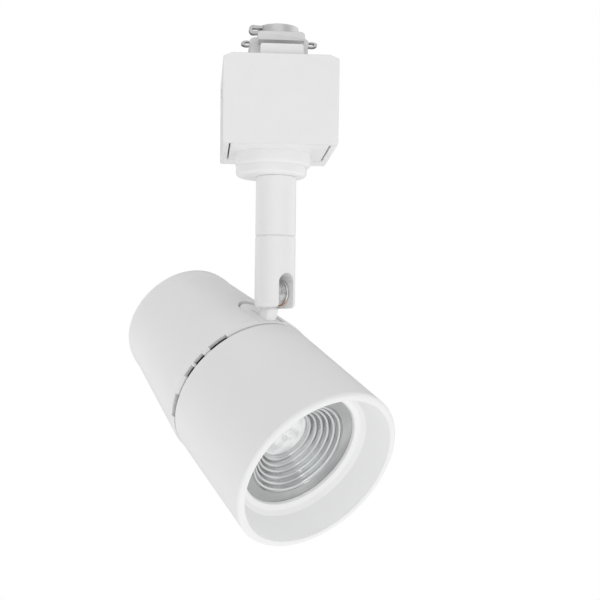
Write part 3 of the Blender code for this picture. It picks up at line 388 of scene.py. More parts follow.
def bronze_with_painted_shade():
    """Phosphor bronze lightened near white as a painted highlight, with dark brown painted shade on its low part.
    """
    highlight_above, shade_below = -0.0748, -0.0762  # heights in metres
    made = new_nodes("Phosphor bronze with painted shade and highlight")
    height = made.make("ShaderNodeSeparateXYZ", Vector=made.place).outputs[2]
    uneven = made.spread(made.noise(400.0), 0.3, 0.7, -0.0004, 0.0004)
    # Painted shade: below a height the bronze turns dark brown; above it stays near white, a painted highlight.
    painted_shade = made.spread(made.maths("ADD", height, uneven), highlight_above, shade_below)
    cloud = made.spread(made.noise(700.0, 3.0), 0.4, 0.65)
    bright = made.blend(cloud, (0.95, 0.94, 0.92), (0.80, 0.78, 0.75))
    made.put("Base Color", made.blend(painted_shade, bright, (0.60, 0.30, 0.14)))
    made.put("Metallic", made.spread(painted_shade, 0.0, 1.0, 0.5, 1.0))
    made.put("Roughness", made.spread(made.noise(500.0), 0.3, 0.7, 0.16, 0.3))
    made.put("Normal", made.bump(made.noise(2400.0), 0.15, 0.00002))
    return made.owner


def board_material(name, colour, line):
    """A printed board: solder mask over tracks, with a woven ground."""
    made = new_nodes(name)
    tracks = made.make("ShaderNodeTexBrick", Vector=made.place, Scale=180.0).outputs["Fac"]
    weave = made.noise(2500.0, 1.0)
    made.put("Base Color", made.blend(tracks, colour, line))
    relief = made.maths("ADD", tracks, made.maths("MULTIPLY", weave, 0.3))
    made.put("Normal", made.bump(relief, 0.3, 0.00004))
    made.put("Roughness", made.spread(weave, 0.3, 0.7, 0.3, 0.45))
    return made.owner


def grey(level):
    """A neutral colour."""
    return (level, level, level)


white_paint = painted("White powder paint", grey(0.90), grey(0.885))
# The neck's paint is the white paint made brighter: painted light against the shade under the fork.
neck_paint_lit = painted("Neck powder paint with painted light", grey(0.97), grey(0.95))
# The baffle's plastic is the white plastic made brighter: painted light against the shade inside the lamp's mouth.
baffle_plastic_lit = moulded("White baffle plastic with painted light", grey(0.95), grey(0.94), 0.5)
white_plastic = moulded("White moulded plastic", grey(0.885), grey(0.877))
grey_plastic = moulded("Silvered plastic", grey(0.75), grey(0.70), 0.34, 0.3, 0.0, 0.2)
nickel = plated("Nickel plate", (0.62, 0.62, 0.61), (0.48, 0.48, 0.47), 0.24, (1.0, 0.15, 1.0))
spring_steel = plated("Spring steel", grey(0.56), (0.42, 0.42, 0.43), 0.3, (0.2, 1.0, 1.0))
# The contacts' metal is the nickel made darker: painted dark reflections on bright strips.
contact_metal_shaded = plated(
    "Contact strip darkened as painted reflection", grey(0.42), grey(0.33), 0.12, (1.0, 0.3, 1.0), 0.04
)
bronze = bronze_with_painted_shade()
turned_steel = turned_metal("Turned steel", grey(0.80), (0.52, 0.52, 0.53), 0.30, 0.00025)
lens_look = lens_material()

# The finish of each material slot in the record.
LOOKS = {
    "white_plastic": white_plastic,
    "white_paint": white_paint,
    "grey_plastic": grey_plastic,
    "nickel": nickel,
    "spring_steel": spring_steel,
    "bronze": bronze,
    "lens": lens_look,
    "dark_plastic": moulded(
        "Black moulded plastic", (0.035, 0.035, 0.038), (0.05, 0.05, 0.052), 0.42, 0.35, 0.0
    ),
    "cast_aluminium": plated(
        "Cast aluminium", (0.66, 0.67, 0.68), (0.54, 0.55, 0.56), 0.45, depth=0.5
    ),
    "circuit_board": board_material("Circuit board", (0.03, 0.16, 0.07), (0.07, 0.26, 0.12)),
    "led_board": board_material("White LED board", (0.74, 0.75, 0.73), (0.62, 0.63, 0.61)),
    "phosphor": moulded("Phosphor", (0.85, 0.70, 0.22), (0.78, 0.62, 0.18), 0.3, 0.4, 0.1),
    "brown_lead": moulded(
        "Brown insulation", (0.20, 0.09, 0.04), (0.16, 0.07, 0.03), 0.4, 0.2, 0.0
    ),
    "blue_lead": moulded(
        "Blue insulation", (0.05, 0.12, 0.40), (0.04, 0.10, 0.33), 0.4, 0.2, 0.0
    ),
}
SLOT_OF = {part["node"]: part["material_slot"] for part in frame["record"]["subparts"]}
BODIES = frame["record"]["behaviour"]["bodies"]
BODY_OF = {node: body for body, nodes in BODIES.items() for node in nodes}
for node, thing in frame["nodes"].items():
    thing.data.materials.clear()
    thing.data.materials.append(LOOKS[SLOT_OF[node]])


# ---------------------------------------------------------------- mesh tools (millimetres)


def fan(sweep, count):
    """Angles from 0 to a sweep in degrees, as radians."""
    return [math.radians(sweep) * index / count for index in range(count + 1)]


def softened(outline, steps):
    """Round the corners of a closed outline of (x, y, radius) points."""
    made = []
    count = len(outline)
    for index, (x, y, radius) in enumerate(outline):
        corner = Vector((x, y))
        before = Vector(outline[index - 1][:2]) - corner
        after = Vector(outline[(index + 1) % count][:2]) - corner
        half = before.angle(after) / 2
        if radius <= 0 or half > math.radians(89):
            made.append((x, y))
            continue
        reach = min(radius / math.tan(half), before.length * 0.49, after.length * 0.49)
        middle = (before.normalized() + after.normalized()).normalized()
        centre = corner + middle * (reach / math.cos(half))
        start = corner + before.normalized() * reach - centre
        end = corner + after.normalized() * reach - centre
        first = math.atan2(start.y, start.x)
        sweep = (math.atan2(end.y, end.x) - first + math.pi) % (2 * math.pi) - math.pi
        for step in range(steps + 1):
            angle = first + sweep * step / steps
            across = start.length * math.cos(angle)
            along = start.length * math.sin(angle)
            made.append((centre.x + across, centre.y + along))
    return made


def piece_of(name, shape, look, place=None):
    """Turn a bmesh in millimetres into an object at a place."""
    bmesh.ops.remove_doubles(shape, verts=shape.verts, dist=1e-5)
    bmesh.ops.recalc_face_normals(shape, faces=shape.faces)
    bmesh.ops.scale(shape, vec=(MM, MM, MM), verts=shape.verts)
    mesh = bpy.data.meshes.new(name)
    shape.to_mesh(mesh)
    shape.free()
    if look is not None:
        mesh.materials.append(look)
    made = bpy.data.objects.new(name, mesh)
    bpy.context.scene.collection.objects.link(made)
    if place is not None:
        made.matrix_world = place
    return made


def lathe(name, outline, look=None, place=None, segments=128, steps=4):
    """Turn an outline of (radius, height, corner radius) points about Z."""
    shape = bmesh.new()
    rings = []
    for radius, height in softened(outline, steps):
        if radius < 1e-6:
            rings.append([shape.verts.new((0, 0, height))])
            continue
        ring = []
        for step in range(segments):
            angle = 2 * math.pi * step / segments
            point = (radius * math.cos(angle), radius * math.sin(angle), height)
            ring.append(shape.verts.new(point))
        rings.append(ring)
    for index, ring in enumerate(rings):
        other = rings[(index + 1) % len(rings)]
        if len(ring) == 1 and len(other) == 1:
            continue
        for step in range(segments):
            after = (step + 1) % segments
            if len(ring) == 1:
                shape.faces.new((ring[0], other[after], other[step]))
            elif len(other) == 1:
                shape.faces.new((ring[step], ring[after], other[0]))
            else:
                shape.faces.new((ring[step], ring[after], other[after], other[step]))
    return piece_of(name, shape, look, place)


def round_edges(shape, edges, radius, segments=3):
    """Round edges of a bmesh before it becomes a piece."""
    bmesh.ops.bevel(
        shape, geom=list(edges), offset=radius, segments=segments, profile=0.5, affect="EDGES"
    )


def prism(name, outline, near, far, look=None, rim=0.0):
    """Extrude an outline of (x, z, corner radius) points along Y, with its ends rounded by rim."""
    shape = bmesh.new()
    points = softened(outline, 6)
    front = [shape.verts.new((x, near, z)) for x, z in points]
    back = [shape.verts.new((x, far, z)) for x, z in points]
    count = len(points)
    for index in range(count):
        after = (index + 1) % count
        shape.faces.new((front[index], front[after], back[after], back[index]))
    ends = [shape.faces.new(front), shape.faces.new(back)]
    if rim > 0:
        round_edges(shape, {edge for face in ends for edge in face.edges}, rim)
    return piece_of(name, shape, look)


def slab(name, low, high, look=None, place=None, radius=0.0, steps=3):
    """A box between two corners with rounded edges."""
    shape = bmesh.new()
    bmesh.ops.create_cube(shape, size=1.0)
    for vert in shape.verts:
        vert.co = Vector([low[i] if vert.co[i] < 0 else high[i] for i in range(3)])
    if radius > 0:
        round_edges(shape, shape.edges, radius, steps)
    return piece_of(name, shape, look, place)


def dowel(name, radius, start, end, place=None, segments=64):
    """A cylinder between two points, for cutting or joining."""
    start = Vector(start)
    along = Vector(end) - start
    turn = along.to_track_quat("Z", "Y").to_matrix().to_4x4()
    local = Matrix.Translation(start * MM) @ turn
    outline = [(0, 0, 0), (radius, 0, 0), (radius, along.length, 0), (0, along.length, 0)]
    return lathe(name, outline, None, (place or Matrix.Identity(4)) @ local, segments)


def settle(piece):
    """Apply a piece's modifiers to its mesh."""
    bpy.context.view_layer.update()
    seen = piece.evaluated_get(bpy.context.evaluated_depsgraph_get())
    mesh = bpy.data.meshes.new_from_object(seen)
    mesh.name = piece.name
    piece.modifiers.clear()
    piece.data = mesh


def work(piece, tools, operation="DIFFERENCE"):
    """Cut the tools from a piece, or join them to it, and remove them."""
    for tool in tools:
        modifier = piece.modifiers.new(operation.title(), "BOOLEAN")
        modifier.operation = operation
        modifier.object = tool
        modifier.solver = "EXACT"
    settle(piece)
    shape = bmesh.new()
    shape.from_mesh(piece.data)
    bmesh.ops.remove_doubles(shape, verts=shape.verts, dist=WELD)
    bmesh.ops.dissolve_degenerate(shape, edges=shape.edges, dist=WELD)
    shape.to_mesh(piece.data)
    shape.free()
    for tool in tools:
        bpy.data.objects.remove(tool, do_unlink=True)


def soften(piece, width):
    """Round the sharp edges of a finished piece."""
    modifier = piece.modifiers.new("Edges", "BEVEL")
    modifier.width = width * MM
    modifier.segments = 2
    modifier.limit_method = "ANGLE"
    modifier.angle_limit = math.radians(45)
    modifier.miter_outer = "MITER_ARC"
    settle(piece)


def hand_over(piece, node):
    """Show a piece in place of a CAD node: it rides on the node's body, and the node is hidden."""
    own = piece.data.attributes.new(OWN_PLACE, "FLOAT_VECTOR", "POINT")
    own.data.foreach_set("vector", [value for vert in piece.data.vertices for value in vert.co])
    piece.data.transform(piece.matrix_world)
    piece.matrix_world = Matrix.Identity(4)
    piece.data.shade_smooth()
    piece.data.set_sharp_from_angle(angle=math.radians(50))
    weighted = piece.modifiers.new("Normals", "WEIGHTED_NORMAL")
    weighted.keep_sharp = True
    weighted.weight = 80
    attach(piece, BODY_OF[node])
    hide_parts(node)


def screw(name, node, place, head, height, shank, length):
    """A screw with a cross recess, whose pan head's outer face looks along the place's Z."""
    body = lathe(
        name,
        [
            (0, 0, 0),
            (head * 0.72, 0, head * 0.5),
            (head, -height * 0.45, height * 0.2),
            (head, -height, 0.08),
            (shank, -height, 0.05),
            (shank, -length + shank * 0.5, 0.05),
            (shank * 0.5, -length, 0.05),
            (0, -length, 0),
        ],
        nickel,
        place,
        96,
    )
    arm = head * 0.62
    half = head * 0.13
    deep = height * 0.7
    cross = slab(f"{name}_slot", (-arm, -half, -deep), (arm, half, 1), None, place)
    other = slab(f"{name}_slot_across", (-half, -arm, -deep), (half, arm, 1), None, place)
    work(cross, [other], "UNION")
    work(body, [cross])
    soften(body, 0.05)
    hand_over(body, node)


# ---------------------------------------------------------------- adapter


def make_adapter():
    """The housing: a box with bevelled shoulders, open below, and its holes."""
    foot = HALF_WIDTH - 0.2
    housing = prism(
        "Adapter_housing",
        [
            (-foot, -HEIGHT, 0.45),
            (foot, -HEIGHT, 0.45),
            (HALF_WIDTH, -1.2, 0.4),
            (HALF_WIDTH - 2.8, 0, 0.4),
            (-HALF_WIDTH + 2.8, 0, 0.4),
            (-HALF_WIDTH, -1.2, 0.4),
        ],
        -HALF_LENGTH,
        HALF_LENGTH,
        white_plastic,
        rim=0.3,
    )
    inner = HALF_WIDTH - WALL
    front = -HALF_LENGTH + FRONT_WALL
    work(
        housing,
        [
            slab("cavity", (-inner, front, COVER_TOP), (inner, HALF_LENGTH - WALL, -2.5)),
            slab("mouth", (-inner, front, -30), (inner, COVER_END + 0.3, COVER_TOP + 1)),
            slab("carrier_hole", (-9.3, -8.8, -4), (9.3, 8.8, 2)),
            slab("tab_hole", (-6.9, front, -4), (7.3, front + 2.8, 2)),
        ],
    )
    for side in (-1, 1):
        outside = (side * 20, SCREW_Y, SCREW_Z)
        recess = dowel("screw_recess", 2.1, (side * 17.1, SCREW_Y, SCREW_Z), outside)
        bore = dowel("screw_bore", 1.6, (side * 14, SCREW_Y, SCREW_Z), outside)
        work(housing, [recess, bore])
    pin_hole = dowel(
        "pin_hole", 1.0, (-14, SCREW_Y, PIN_HOLE_Z), (-20, SCREW_Y, PIN_HOLE_Z), segments=32
    )
    work(housing, [pin_hole])
    hand_over(housing, "adapter_housing")


def make_cover():
    """The bottom cover, with the stem's hole."""
    half = HALF_WIDTH - WALL - 0.5
    low = (-half, -HALF_LENGTH + FRONT_WALL + 0.06, -HEIGHT)
    cover = slab("Bottom_cover", low, (half, COVER_END, COVER_TOP), white_plastic, None, 0.2)
    work(cover, [dowel("stem_hole", STEM_HOLE, (0, 0, -30), (0, 0, -20))])
    hand_over(cover, "adapter_bottom_cover")


def make_side_screws():
    """A screw in the recess of each side wall."""
    for side, node in ((-1, "side_screw_left"), (1, "side_screw_right")):
        turn = Matrix.Rotation(math.radians(90 * side), 4, "Y")
        place = Matrix.Translation(Vector((side * 18.3, SCREW_Y, SCREW_Z)) * MM) @ turn
        screw(node.title(), node, place, head=1.75, height=0.6, shank=1.3, length=4.5)


def make_tab():
    """The sprung tab at the adapter's front, which its shoulders stop under the top."""
    front = -HALF_LENGTH + FRONT_WALL + 0.3
    tab = prism(
        "Locking_tab",
        [
            (-6.5, 3.6, 0.5),
            (-6.5, SHOULDER, 0),
            (-7.8, SHOULDER, 0.4),
            (-7.8, -10.0, 0.4),
            (7.8, -10.0, 0.4),
            (7.8, SHOULDER, 0.4),
            (6.95, SHOULDER, 0),
            (6.95, 3.6, 0.5),
        ],
        front,
        front + TAB_THICKNESS,
        white_plastic,
        rim=0.2,
    )
    hand_over(tab, "locking_tab")


def make_tab_spring():
    """A wound wire under the tab, built at its rest length."""
    low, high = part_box("locking_tab_spring")
    wire = 0.2
    turns = 7
    steps_each = 24
    sides = 8
    radius = (high[0] - low[0]) / 2 / MM - wire
    bottom, top = low[2] / MM + wire, high[2] / MM - wire
    middle = (low[1] + high[1]) / 2 / MM
    steps = turns * steps_each
    shape = bmesh.new()
    rings = []
    for step in range(steps + 1):
        turn = 2 * math.pi * step / steps_each
        outward = Vector((math.cos(turn), math.sin(turn), 0))
        centre = outward * radius + Vector((0, middle, bottom + (top - bottom) * step / steps))
        ring = []
        for side in range(sides):
            angle = 2 * math.pi * side / sides
            lift = Vector((0, 0, wire * math.sin(angle)))
            ring.append(shape.verts.new(centre + outward * (wire * math.cos(angle)) + lift))
        rings.append(ring)
    for ring, other in zip(rings, rings[1:]):
        for side in range(sides):
            after = (side + 1) % sides
            shape.faces.new((ring[side], ring[after], other[after], other[side]))
    shape.faces.new(rings[0])
    shape.faces.new(rings[-1])
    spring = piece_of("Tab_spring", shape, spring_steel)
    hand_over(spring, "locking_tab_spring")
    spring.modifiers.clear()
    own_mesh(spring)


def make_carrier():
    """The grey block that enters the track: a base, wings, a long plate and a boss."""
    carrier = prism(
        "Contact_carrier",
        [(-9.2, -4.3, 0.2), (9.1, -4.3, 0.2), (9.1, 7.4, 1.6), (-9.2, 7.4, 2.6)],
        -8.5,
        8.5,
        grey_plastic,
        rim=0.25,
    )
    wings = prism(
        "wings",
        [(-9.4, 5.6, 0.8), (9.4, 5.6, 0.8), (9.4, 8.3, 2.2), (-9.4, 8.3, 2.2)],
        -7.5,
        7.5,
        rim=0.4,
    )
    plate = prism(
        "plate",
        [(-7.2, 5.8, 0.3), (7.7, 5.8, 0.3), (7.7, 8.6, 1.3), (-7.2, 8.6, 0.8)],
        -14.7,
        14.7,
        rim=0.35,
    )
    boss = lathe("boss", [(0, 6.8, 0), (6.65, 6.8, 0), (6.65, 13.3, 0.35), (0, 13.3, 0)])
    work(carrier, [wings, plate, boss], "UNION")
    hand_over(carrier, "contact_carrier")


def make_contacts():
    """Strips folded back on themselves: a rolled one above and two with long noses below."""
    for node, (side, height, loop, near, reach, root, nose, strip) in CONTACTS.items():
        outer = loop / 2
        inside = outer - strip
        bend = reach - outer * nose
        half_turn = [(math.sin(angle), math.cos(angle)) for angle in fan(180, 24)]
        points = [(root, height + outer * 0.8)]
        points += [(bend + outer * nose * out, height + outer * up) for out, up in half_turn]
        points += [(root, height - outer * 0.8), (root, height - inside * 0.8)]
        points += [(bend + inside * nose * out, height - inside * up) for out, up in half_turn]
        points += [(root, height + inside * 0.8)]
        outline = [(side * x, z, 0.0) for x, z in points]
        far = near + CONTACT_WIDTH
        contact = prism(node.title(), outline, near, far, contact_metal_shaded, rim=0.07)
        hand_over(contact, node)


# ---------------------------------------------------------------- stem


def make_collar():
    """Two round tiers, each off the stem's axis, bored for the stem."""
    top = -HEIGHT + 0.05
    collar = lathe(
        "Stem_collar",
        [(0, top, 0), (12.2, top, 0), (12.2, -32.45, 1.3), (0, -32.45, 0)],
        white_paint,
        Matrix.Translation((COLLAR_SHIFT * MM, 0, 0)),
        160,
        8,
    )
    step = lathe(
        "collar_step",
        [
            (0, -31.0, 0),
            (11.2, -31.0, 0.3),
            (11.4, -32.6, 0.3),
            (11.4, -35.45, 1.2),
            (0, -35.45, 0),
        ],
        None,
        Matrix.Translation((COLLAR_STEP_SHIFT * MM, 0, 0)),
        160,
        8,
    )
    work(collar, [step], "UNION")
    work(collar, [dowel("collar_bore", STEM_HOLE, (0, 0, -27), (0, 0, -37), segments=96)])
    hand_over(collar, "stem_collar")


def make_stem():
    """The upper tube, bored from below for the swivel's nipple, and the swivel's washer."""
    tube = lathe(
        "Stem_tube",
        [
            (2.4, -20.5, 0.1),
            (4.8, -20.5, 0.3),
            (4.8, -35.5, 0.1),
            (STEM_RADIUS, -35.5, 0.15),
            (STEM_RADIUS, SWIVEL_TOP, 0.3),
            (NIPPLE_RADIUS, SWIVEL_TOP, 0.1),
            (NIPPLE_RADIUS, -46.5, 0.1),
            (2.4, -46.5, 0.1),
        ],
        white_paint,
    )
    hand_over(tube, "stem_tube")
    top, foot = SWIVEL_TOP + 0.02, SWIVEL_FOOT - 0.02
    washer = lathe(
        "Swivel_washer",
        [
            (NIPPLE_RADIUS, top, 0.05),
            (STEM_RADIUS - 0.35, top, 0.1),
            (STEM_RADIUS - 0.35, foot, 0.1),
            (NIPPLE_RADIUS, foot, 0.05),
        ],
        white_plastic,
    )
    hand_over(washer, "swivel_washer")


def make_fork():
    """The stem's lower half, slotted for the knuckle and bored for a lead and the hinge screw."""
    fork = lathe(
        "Stem_fork",
        [
            (0, FORK_FOOT, 0),
            (STEM_RADIUS, FORK_FOOT, 1.3),
            (STEM_RADIUS, SWIVEL_FOOT, 0.3),
            (NIPPLE_RADIUS, SWIVEL_FOOT, 0.1),
            (NIPPLE_RADIUS, -60.0, 0),
            (5.5, -60.0, 0),
            (5.5, -63.9, 0),
            (0, -63.9, 0),
        ],
        white_paint,
        fork_place,
        steps=6,
    )
    middle, half = (SLOT_LOW + SLOT_HIGH) / 2, (SLOT_HIGH - SLOT_LOW) / 2
    slot = slab("slot", (SLOT_LOW, -8, -80), (SLOT_HIGH, 8, SLOT_TOP), None, fork_place)
    slot_end = dowel(
        "slot_end", half, (middle, -8, SLOT_TOP), (middle, 8, SLOT_TOP), fork_place
    )
    work(fork, [slot, slot_end])
    way = dowel("lead_way", 1.9, (0, 0, -63), (0, 0, -69), fork_place)
    bore = dowel("pin_bore", PIN_RADIUS, (-4.9, 0, HINGE_Z), (8, 0, HINGE_Z), fork_place)
    sink = dowel("head_sink", 2.9, (4.7, 0, HINGE_Z), (8, 0, HINGE_Z), fork_place)
    work(fork, [way, bore, sink])
    hand_over(fork, "stem_fork")
    turn = Matrix.Rotation(math.radians(90), 4, "Y")
    place = fork_place @ Matrix.Translation(Vector((6.3, 0, HINGE_Z)) * MM) @ turn
    screw("Hinge_screw", "hinge_screw", place, head=2.6, height=1.3, shank=1.5, length=10.9)


# ---------------------------------------------------------------- head


def make_hinge():
    """The turned knuckle with its shank, and the bronze washer beside it."""
    place = head_place @ Matrix.Rotation(math.radians(90), 4, "Y")
    knuckle = lathe(
        "Hinge_knuckle",
        [
            (PIN_RADIUS, -2.5, 0.1),
            (KNUCKLE - 0.4, -2.5, 0.1),
            (KNUCKLE, -2.2, 0.1),
            (KNUCKLE, -1.2, 0.05),
            (KNUCKLE - 0.12, -1.1, 0.03),
            (KNUCKLE - 0.12, -0.9, 0.03),
            (KNUCKLE, -0.8, 0.05),
            (KNUCKLE, 1.3, 0.08),
            (KNUCKLE - 0.35, 1.6, 0.08),
            (PIN_RADIUS, 1.6, 0.1),
        ],
        turned_steel,
        place,
    )
    leaning = head_place @ neck_tip
    shank = slab("shank", (-1.1, -1.2, -9.0), (1.1, 1.2, -2.6), None, leaning, 0.2)
    work(knuckle, [shank], "UNION")
    hand_over(knuckle, "hinge_knuckle")
    edge = KNUCKLE + 0.15
    washer = lathe(
        "Friction_washer",
        [
            (PIN_RADIUS, 1.75, 0.05),
            (edge, 1.75, 0.12),
            (edge, 2.25, 0.12),
            (PIN_RADIUS, 2.25, 0.05),
        ],
        bronze,
        place,
        96,
    )
    hand_over(washer, "hinge_friction_washer")


def make_neck():
    """A foot plate that follows the housing's skin, with a post that leans to the hinge."""
    floor = POCKET_FLOOR + 0.3
    half = POCKET_HALF - 0.45
    top = 28
    near = on_head(-half, REAR_END - 0.4, floor)
    far = on_head(half, PLATE_END, top)
    low = [min(near[i], far[i]) for i in range(3)]
    high = [max(near[i], far[i]) for i in range(3)]
    neck = slab("Neck_bracket", low, high, neck_paint_lit, head_place)
    end = dowel(
        "plate_end",
        half,
        on_head(0, PLATE_END, floor),
        on_head(0, PLATE_END, top),
        head_place,
        96,
    )
    work(neck, [end], "UNION")
    skin = lathe(
        "skin",
        [
            (rear_radius(20) - PLATE_SINK, 20, 0),
            (rear_radius(50) - PLATE_SINK, 50, 0),
            (40, 50, 0),
            (40, 20, 0),
        ],
        None,
        axial_place,
        256,
    )
    work(neck, [skin])
    leaning = head_place @ neck_tip
    post = slab("post", (-2.2, -2.3, -12.0), (2.2, 2.3, -KNUCKLE - 0.3), None, leaning, 1.2, 6)
    work(neck, [post], "UNION")
    socket = slab("socket", (-1.4, -1.5, -9.3), (1.4, 1.5, -3.0), None, leaning)
    room = dowel("room", KNUCKLE + 0.3, (-4, 0, 0), (4, 0, 0), head_place, 96)
    seam_low = on_head(-1.5, 37.8, 24.6)
    seam_high = (-1.15, HINGE_STATION - PLATE_END, 0)
    seam = slab("seam", seam_low, seam_high, None, head_place)
    work(neck, [socket, room, seam])
    hand_over(neck, "neck_bracket")


def make_rear():
    """The rear housing, with a pocket in its top for the neck's foot plate."""
    turn_radius = 1.6
    turn_depth = 6.3
    corner = rear_radius(turn_depth) - turn_radius
    outline = [(0, 0, 0)]
    for angle in fan(90, 20):
        radius = corner + turn_radius * math.sin(angle)
        outline.append((radius, turn_depth * (1 - math.cos(angle)), 0))
    outline += [
        (rear_radius(REAR_END), REAR_END, 0.3),
        (rear_radius(REAR_END) - 1.8, REAR_END, 0.2),
        (corner - 1.0, 2.2, 2.0),
        (0, 2.2, 0),
    ]
    rear = lathe("Rear_housing", outline, white_paint, axial_place, 192, 6)
    pad = slab(
        "pad",
        (-POCKET_HALF - 1.6, POCKET_FLOOR - 1.8, POCKET_BACK - 1.6),
        (POCKET_HALF + 1.6, POCKET_FLOOR + 0.6, REAR_END - 0.4),
        None,
        axial_place,
    )
    work(rear, [pad], "UNION")
    bend = POCKET_BACK + POCKET_HALF
    above = 32
    pocket = slab(
        "pocket",
        (-POCKET_HALF, POCKET_FLOOR, bend),
        (POCKET_HALF, above, REAR_END + 2),
        None,
        axial_place,
    )
    pocket_end = dowel(
        "pocket_end", POCKET_HALF, (0, POCKET_FLOOR, bend), (0, above, bend), axial_place, 96
    )
    work(pocket, [pocket_end], "UNION")
    work(rear, [pocket])
    hand_over(rear, "rear_housing")


def make_vent_ring():
    """The ring between the rear housing and the shade, cut through by the vents."""
    inner = 23.0
    outer = rear_radius(REAR_END) - 0.15
    low = REAR_END - 0.1
    high = FRONT_START - 0.4
    outline = [(inner, low, 0.05), (outer, low, 0.1), (outer, high, 0.1), (inner, high, 0.05)]
    ring = lathe("Vent_ring", outline, white_plastic, axial_place, 192, 3)
    cutters = []
    for side in (-1, 1):
        for start, end in VENTS:
            middle = math.radians(90 - side * (start + end) / 2)
            half = outer * math.sin(math.radians(end - start) / 2)
            place = axial_place @ Matrix.Rotation(middle, 4, "Z")
            near = (inner - 3, -half, low - 1)
            cutters.append(slab("vent", near, (outer + 1, half, high + 1), None, place))
    work(ring, cutters)
    hand_over(ring, "vent_ring")


def make_shade():
    """The front shade, with a rounded lip in front and a shelf inside."""
    shade = lathe(
        "Front_shade",
        [
            (FRONT_START_RADIUS, FRONT_START, 0.8),
            (FRONT_END_RADIUS, FRONT_END, 1.3),
            (FRONT_END_RADIUS - LIP, FRONT_END, 0.5),
            (FRONT_END_RADIUS - LIP, FRONT_END - 2.4, 0.1),
            (front_radius(84.3) - SHADE_WALL, 84.3, 0.3),
            (front_radius(52.7) - SHADE_WALL, 52.7, 0.3),
            (22.1, 52.7, 0.2),
            (22.1, 50.7, 0.2),
            (front_radius(50.7) - SHADE_WALL, 50.7, 0.3),
            (FRONT_START_RADIUS - SHADE_WALL, FRONT_START, 0.3),
        ],
        white_paint,
        axial_place,
        256,
        8,
    )
    hand_over(shade, "front_shade")


def make_baffle():
    """The white cone inside the shade, from its lip to the lens."""
    rim = FRONT_END_RADIUS - LIP + 0.1
    baffle = lathe(
        "Glare_baffle",
        [
            (rim, FRONT_END - 0.45, 0),
            (rim, FRONT_END - 2.6, 0.2),
            (25.05, 79.4, 0.4),
            (23.85, LENS_PLANE - 1.2, 0.2),
            (21.6, LENS_PLANE - 1.2, 0.1),
            (21.6, LENS_PLANE - 0.04, 0),
            (20.1, LENS_PLANE - 0.04, 0.05),
            (20.4, LENS_PLANE + 1.0, 0.3),
            (22.1, LENS_PLANE + 1.6, 0.9),
            (23.45, LENS_PLANE + 2.9, 0.9),
            (rim - 0.15, FRONT_END - 0.45, 0),
        ],
        baffle_plastic_lit,
        axial_place,
        256,
        8,
    )
    hand_over(baffle, "glare_baffle")


def make_lens():
    """A milky window in the middle of stepped rings, with the lens's body behind them."""
    outline = [
        (0, WINDOW + 0.35, 0),
        (4.0, WINDOW + 0.3, 0),
        (WINDOW_RADIUS - 1, WINDOW, 0.4),
        (WINDOW_RADIUS, WINDOW - 0.1, 0.12),
    ]
    rise = (LENS_PLANE - 0.8 - WINDOW) / LENS_STEPS
    for index in range(LENS_STEPS):
        radius = WINDOW_RADIUS + LENS_PITCH * index
        height = WINDOW + rise * (index + 1)
        outline.append((radius + 0.15, height, 0.4))
        outline.append((radius + LENS_PITCH, height + 0.05, 0.25))
    outline += [
        (LENS_STEPS_END + 0.05, LENS_PLANE - 0.55, 0.1),
        (20.1, LENS_PLANE - 0.05, 0.1),
        (21.3, LENS_PLANE - 0.05, 0.1),
        (21.3, LENS_PLANE - 2.2, 0.1),
        (19.8, LENS_PLANE - 2.6, 0.1),
        (8.6, 55.0, 0.1),
        (7.0, 55.0, 0.1),
        (6.4, 59.2, 0.2),
        (0, 59.2, 0),
    ]
    lens = lathe("Lens", outline, lens_look, axial_place, 256, 5)
    hand_over(lens, "lens")


# ---------------------------------------------------------------- room, light and camera

FLOOR_DEPTH = -900  # millimetres: the lamp hangs this far above the floor
FLOOR_RADIUS = 3000
FLOOR_GLOW = 0.37
DAYLIGHT = 0.735  # how bright the surroundings are on average
DAYLIGHT_SLOPE = (0.035, -0.03, -0.03)  # and towards which side they are brighter
PANELS = 3  # soft bright panels round the room, which only glossy surfaces show
PANELS_TURN = 3.54
CAMERA_PLACE = (-0.02557, -0.42772, -0.09995)
CAMERA_YAW, CAMERA_PITCH, CAMERA_ROLL = 0.07867, 0.05815, 0.01109
CAMERA_LENS = 80.145


def make_floor():
    """A pale round floor, well below the lamp."""
    made = new_nodes("Pale floor")
    tone = made.spread(made.noise(3.0, 4.0), 0.35, 0.65)
    made.put("Base Color", made.blend(tone, grey(0.90), grey(0.87)))
    made.put("Roughness", 0.7)
    made.put("Emission Color", (*grey(0.9), 1.0))
    made.put("Emission Strength", FLOOR_GLOW)
    made.put("Normal", made.bump(made.noise(90.0, 3.0), 0.1, 0.0005))
    foot = FLOOR_DEPTH - 40
    outline = [
        (0, FLOOR_DEPTH, 0),
        (FLOOR_RADIUS, FLOOR_DEPTH, 20),
        (FLOOR_RADIUS, foot, 20),
        (0, foot, 0),
    ]
    floor = lathe("Floor", outline, made.owner, segments=96)
    floor.data.shade_smooth()
    floor.data.set_sharp_from_angle(angle=math.radians(50))


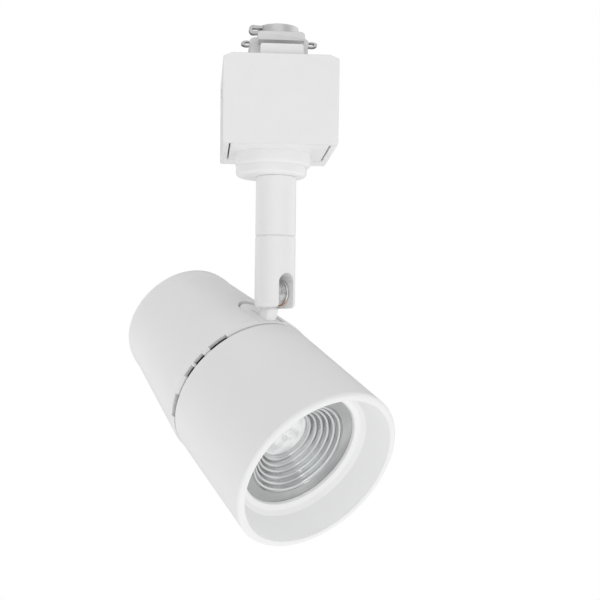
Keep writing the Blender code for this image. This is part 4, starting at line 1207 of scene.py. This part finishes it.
def make_surroundings():
    """White behind the object, an even soft light on it, and panels in its reflections."""
    world = bpy.data.worlds.new("Studio")
    bpy.context.scene.world = world
    bpy.context.scene.view_settings.view_transform = "Standard"
    made = Nodes(world, "Generated")
    slope = made.make("ShaderNodeVectorMath")
    slope.operation = "DOT_PRODUCT"
    made.feed(slope.inputs[0], made.place)
    made.feed(slope.inputs[1], DAYLIGHT_SLOPE)
    soft = made.maths("ADD", slope.outputs["Value"], DAYLIGHT)
    turn = made.make("ShaderNodeTexGradient", Vector=made.place)
    turn.gradient_type = "RADIAL"
    angle = made.maths("MULTIPLY_ADD", turn.outputs["Fac"], 2 * math.pi * PANELS, PANELS_TURN)
    panels = made.spread(made.maths("SINE", angle), -0.45, 0.25, 0.25, 1.2)
    ray = made.make("ShaderNodeLightPath").outputs
    lit = made.choose(ray["Is Glossy Ray"], soft, panels)
    seen = made.choose(ray["Is Camera Ray"], lit, 1.0)
    back = made.tree.nodes["Background"]
    made.feed(back.inputs["Strength"], seen)
    made.feed(back.inputs["Color"], (1.0, 1.0, 1.0, 1.0))


def make_light(name, location, target, size, power):
    """A round soft light, its size in metres and its power in watts."""
    data = bpy.data.lights.new(name, "AREA")
    data.shape = "DISK"
    data.size = size
    data.energy = power
    light = bpy.data.objects.new(name, data)
    light.location = location
    light.rotation_mode = "QUATERNION"
    aim = Vector(target) - Vector(location)
    light.rotation_quaternion = aim.to_track_quat("-Z", "Y")
    bpy.context.scene.collection.objects.link(light)


def make_camera():
    """The camera, turned by a yaw, pitch and roll in radians."""
    level = math.cos(CAMERA_PITCH)
    forward = Vector(
        (math.sin(CAMERA_YAW) * level, math.cos(CAMERA_YAW) * level, math.sin(CAMERA_PITCH))
    )
    across = Vector((math.cos(CAMERA_YAW), -math.sin(CAMERA_YAW), 0))
    upright = across.cross(forward)
    right = across * math.cos(CAMERA_ROLL) + upright * math.sin(CAMERA_ROLL)
    up = upright * math.cos(CAMERA_ROLL) - across * math.sin(CAMERA_ROLL)
    data = bpy.data.cameras.new("Camera")
    data.sensor_width = 36
    data.lens = CAMERA_LENS
    data.clip_start = 0.01
    data.clip_end = 50
    camera = bpy.data.objects.new("Camera", data)
    axes = zip(right, up, -forward, CAMERA_PLACE)
    camera.matrix_world = Matrix((*axes, (0, 0, 0, 1)))
    bpy.context.scene.collection.objects.link(camera)
    bpy.context.scene.camera = camera


make_adapter()
make_cover()
make_side_screws()
make_tab()
make_tab_spring()
make_carrier()
make_contacts()
make_collar()
make_stem()
make_fork()
make_hinge()
make_neck()
make_rear()
make_vent_ring()
make_shade()
make_baffle()
make_lens()
make_floor()
make_surroundings()
make_light("Front_softbox", (0.4, -1.4, -0.05), (0.0, 0.0, -0.08), size=1.1, power=0.8)
make_light("Small_lamp", (0.694, -0.655, -0.533), (0.03, -0.03, -0.13), size=0.05, power=0.5)
make_camera()
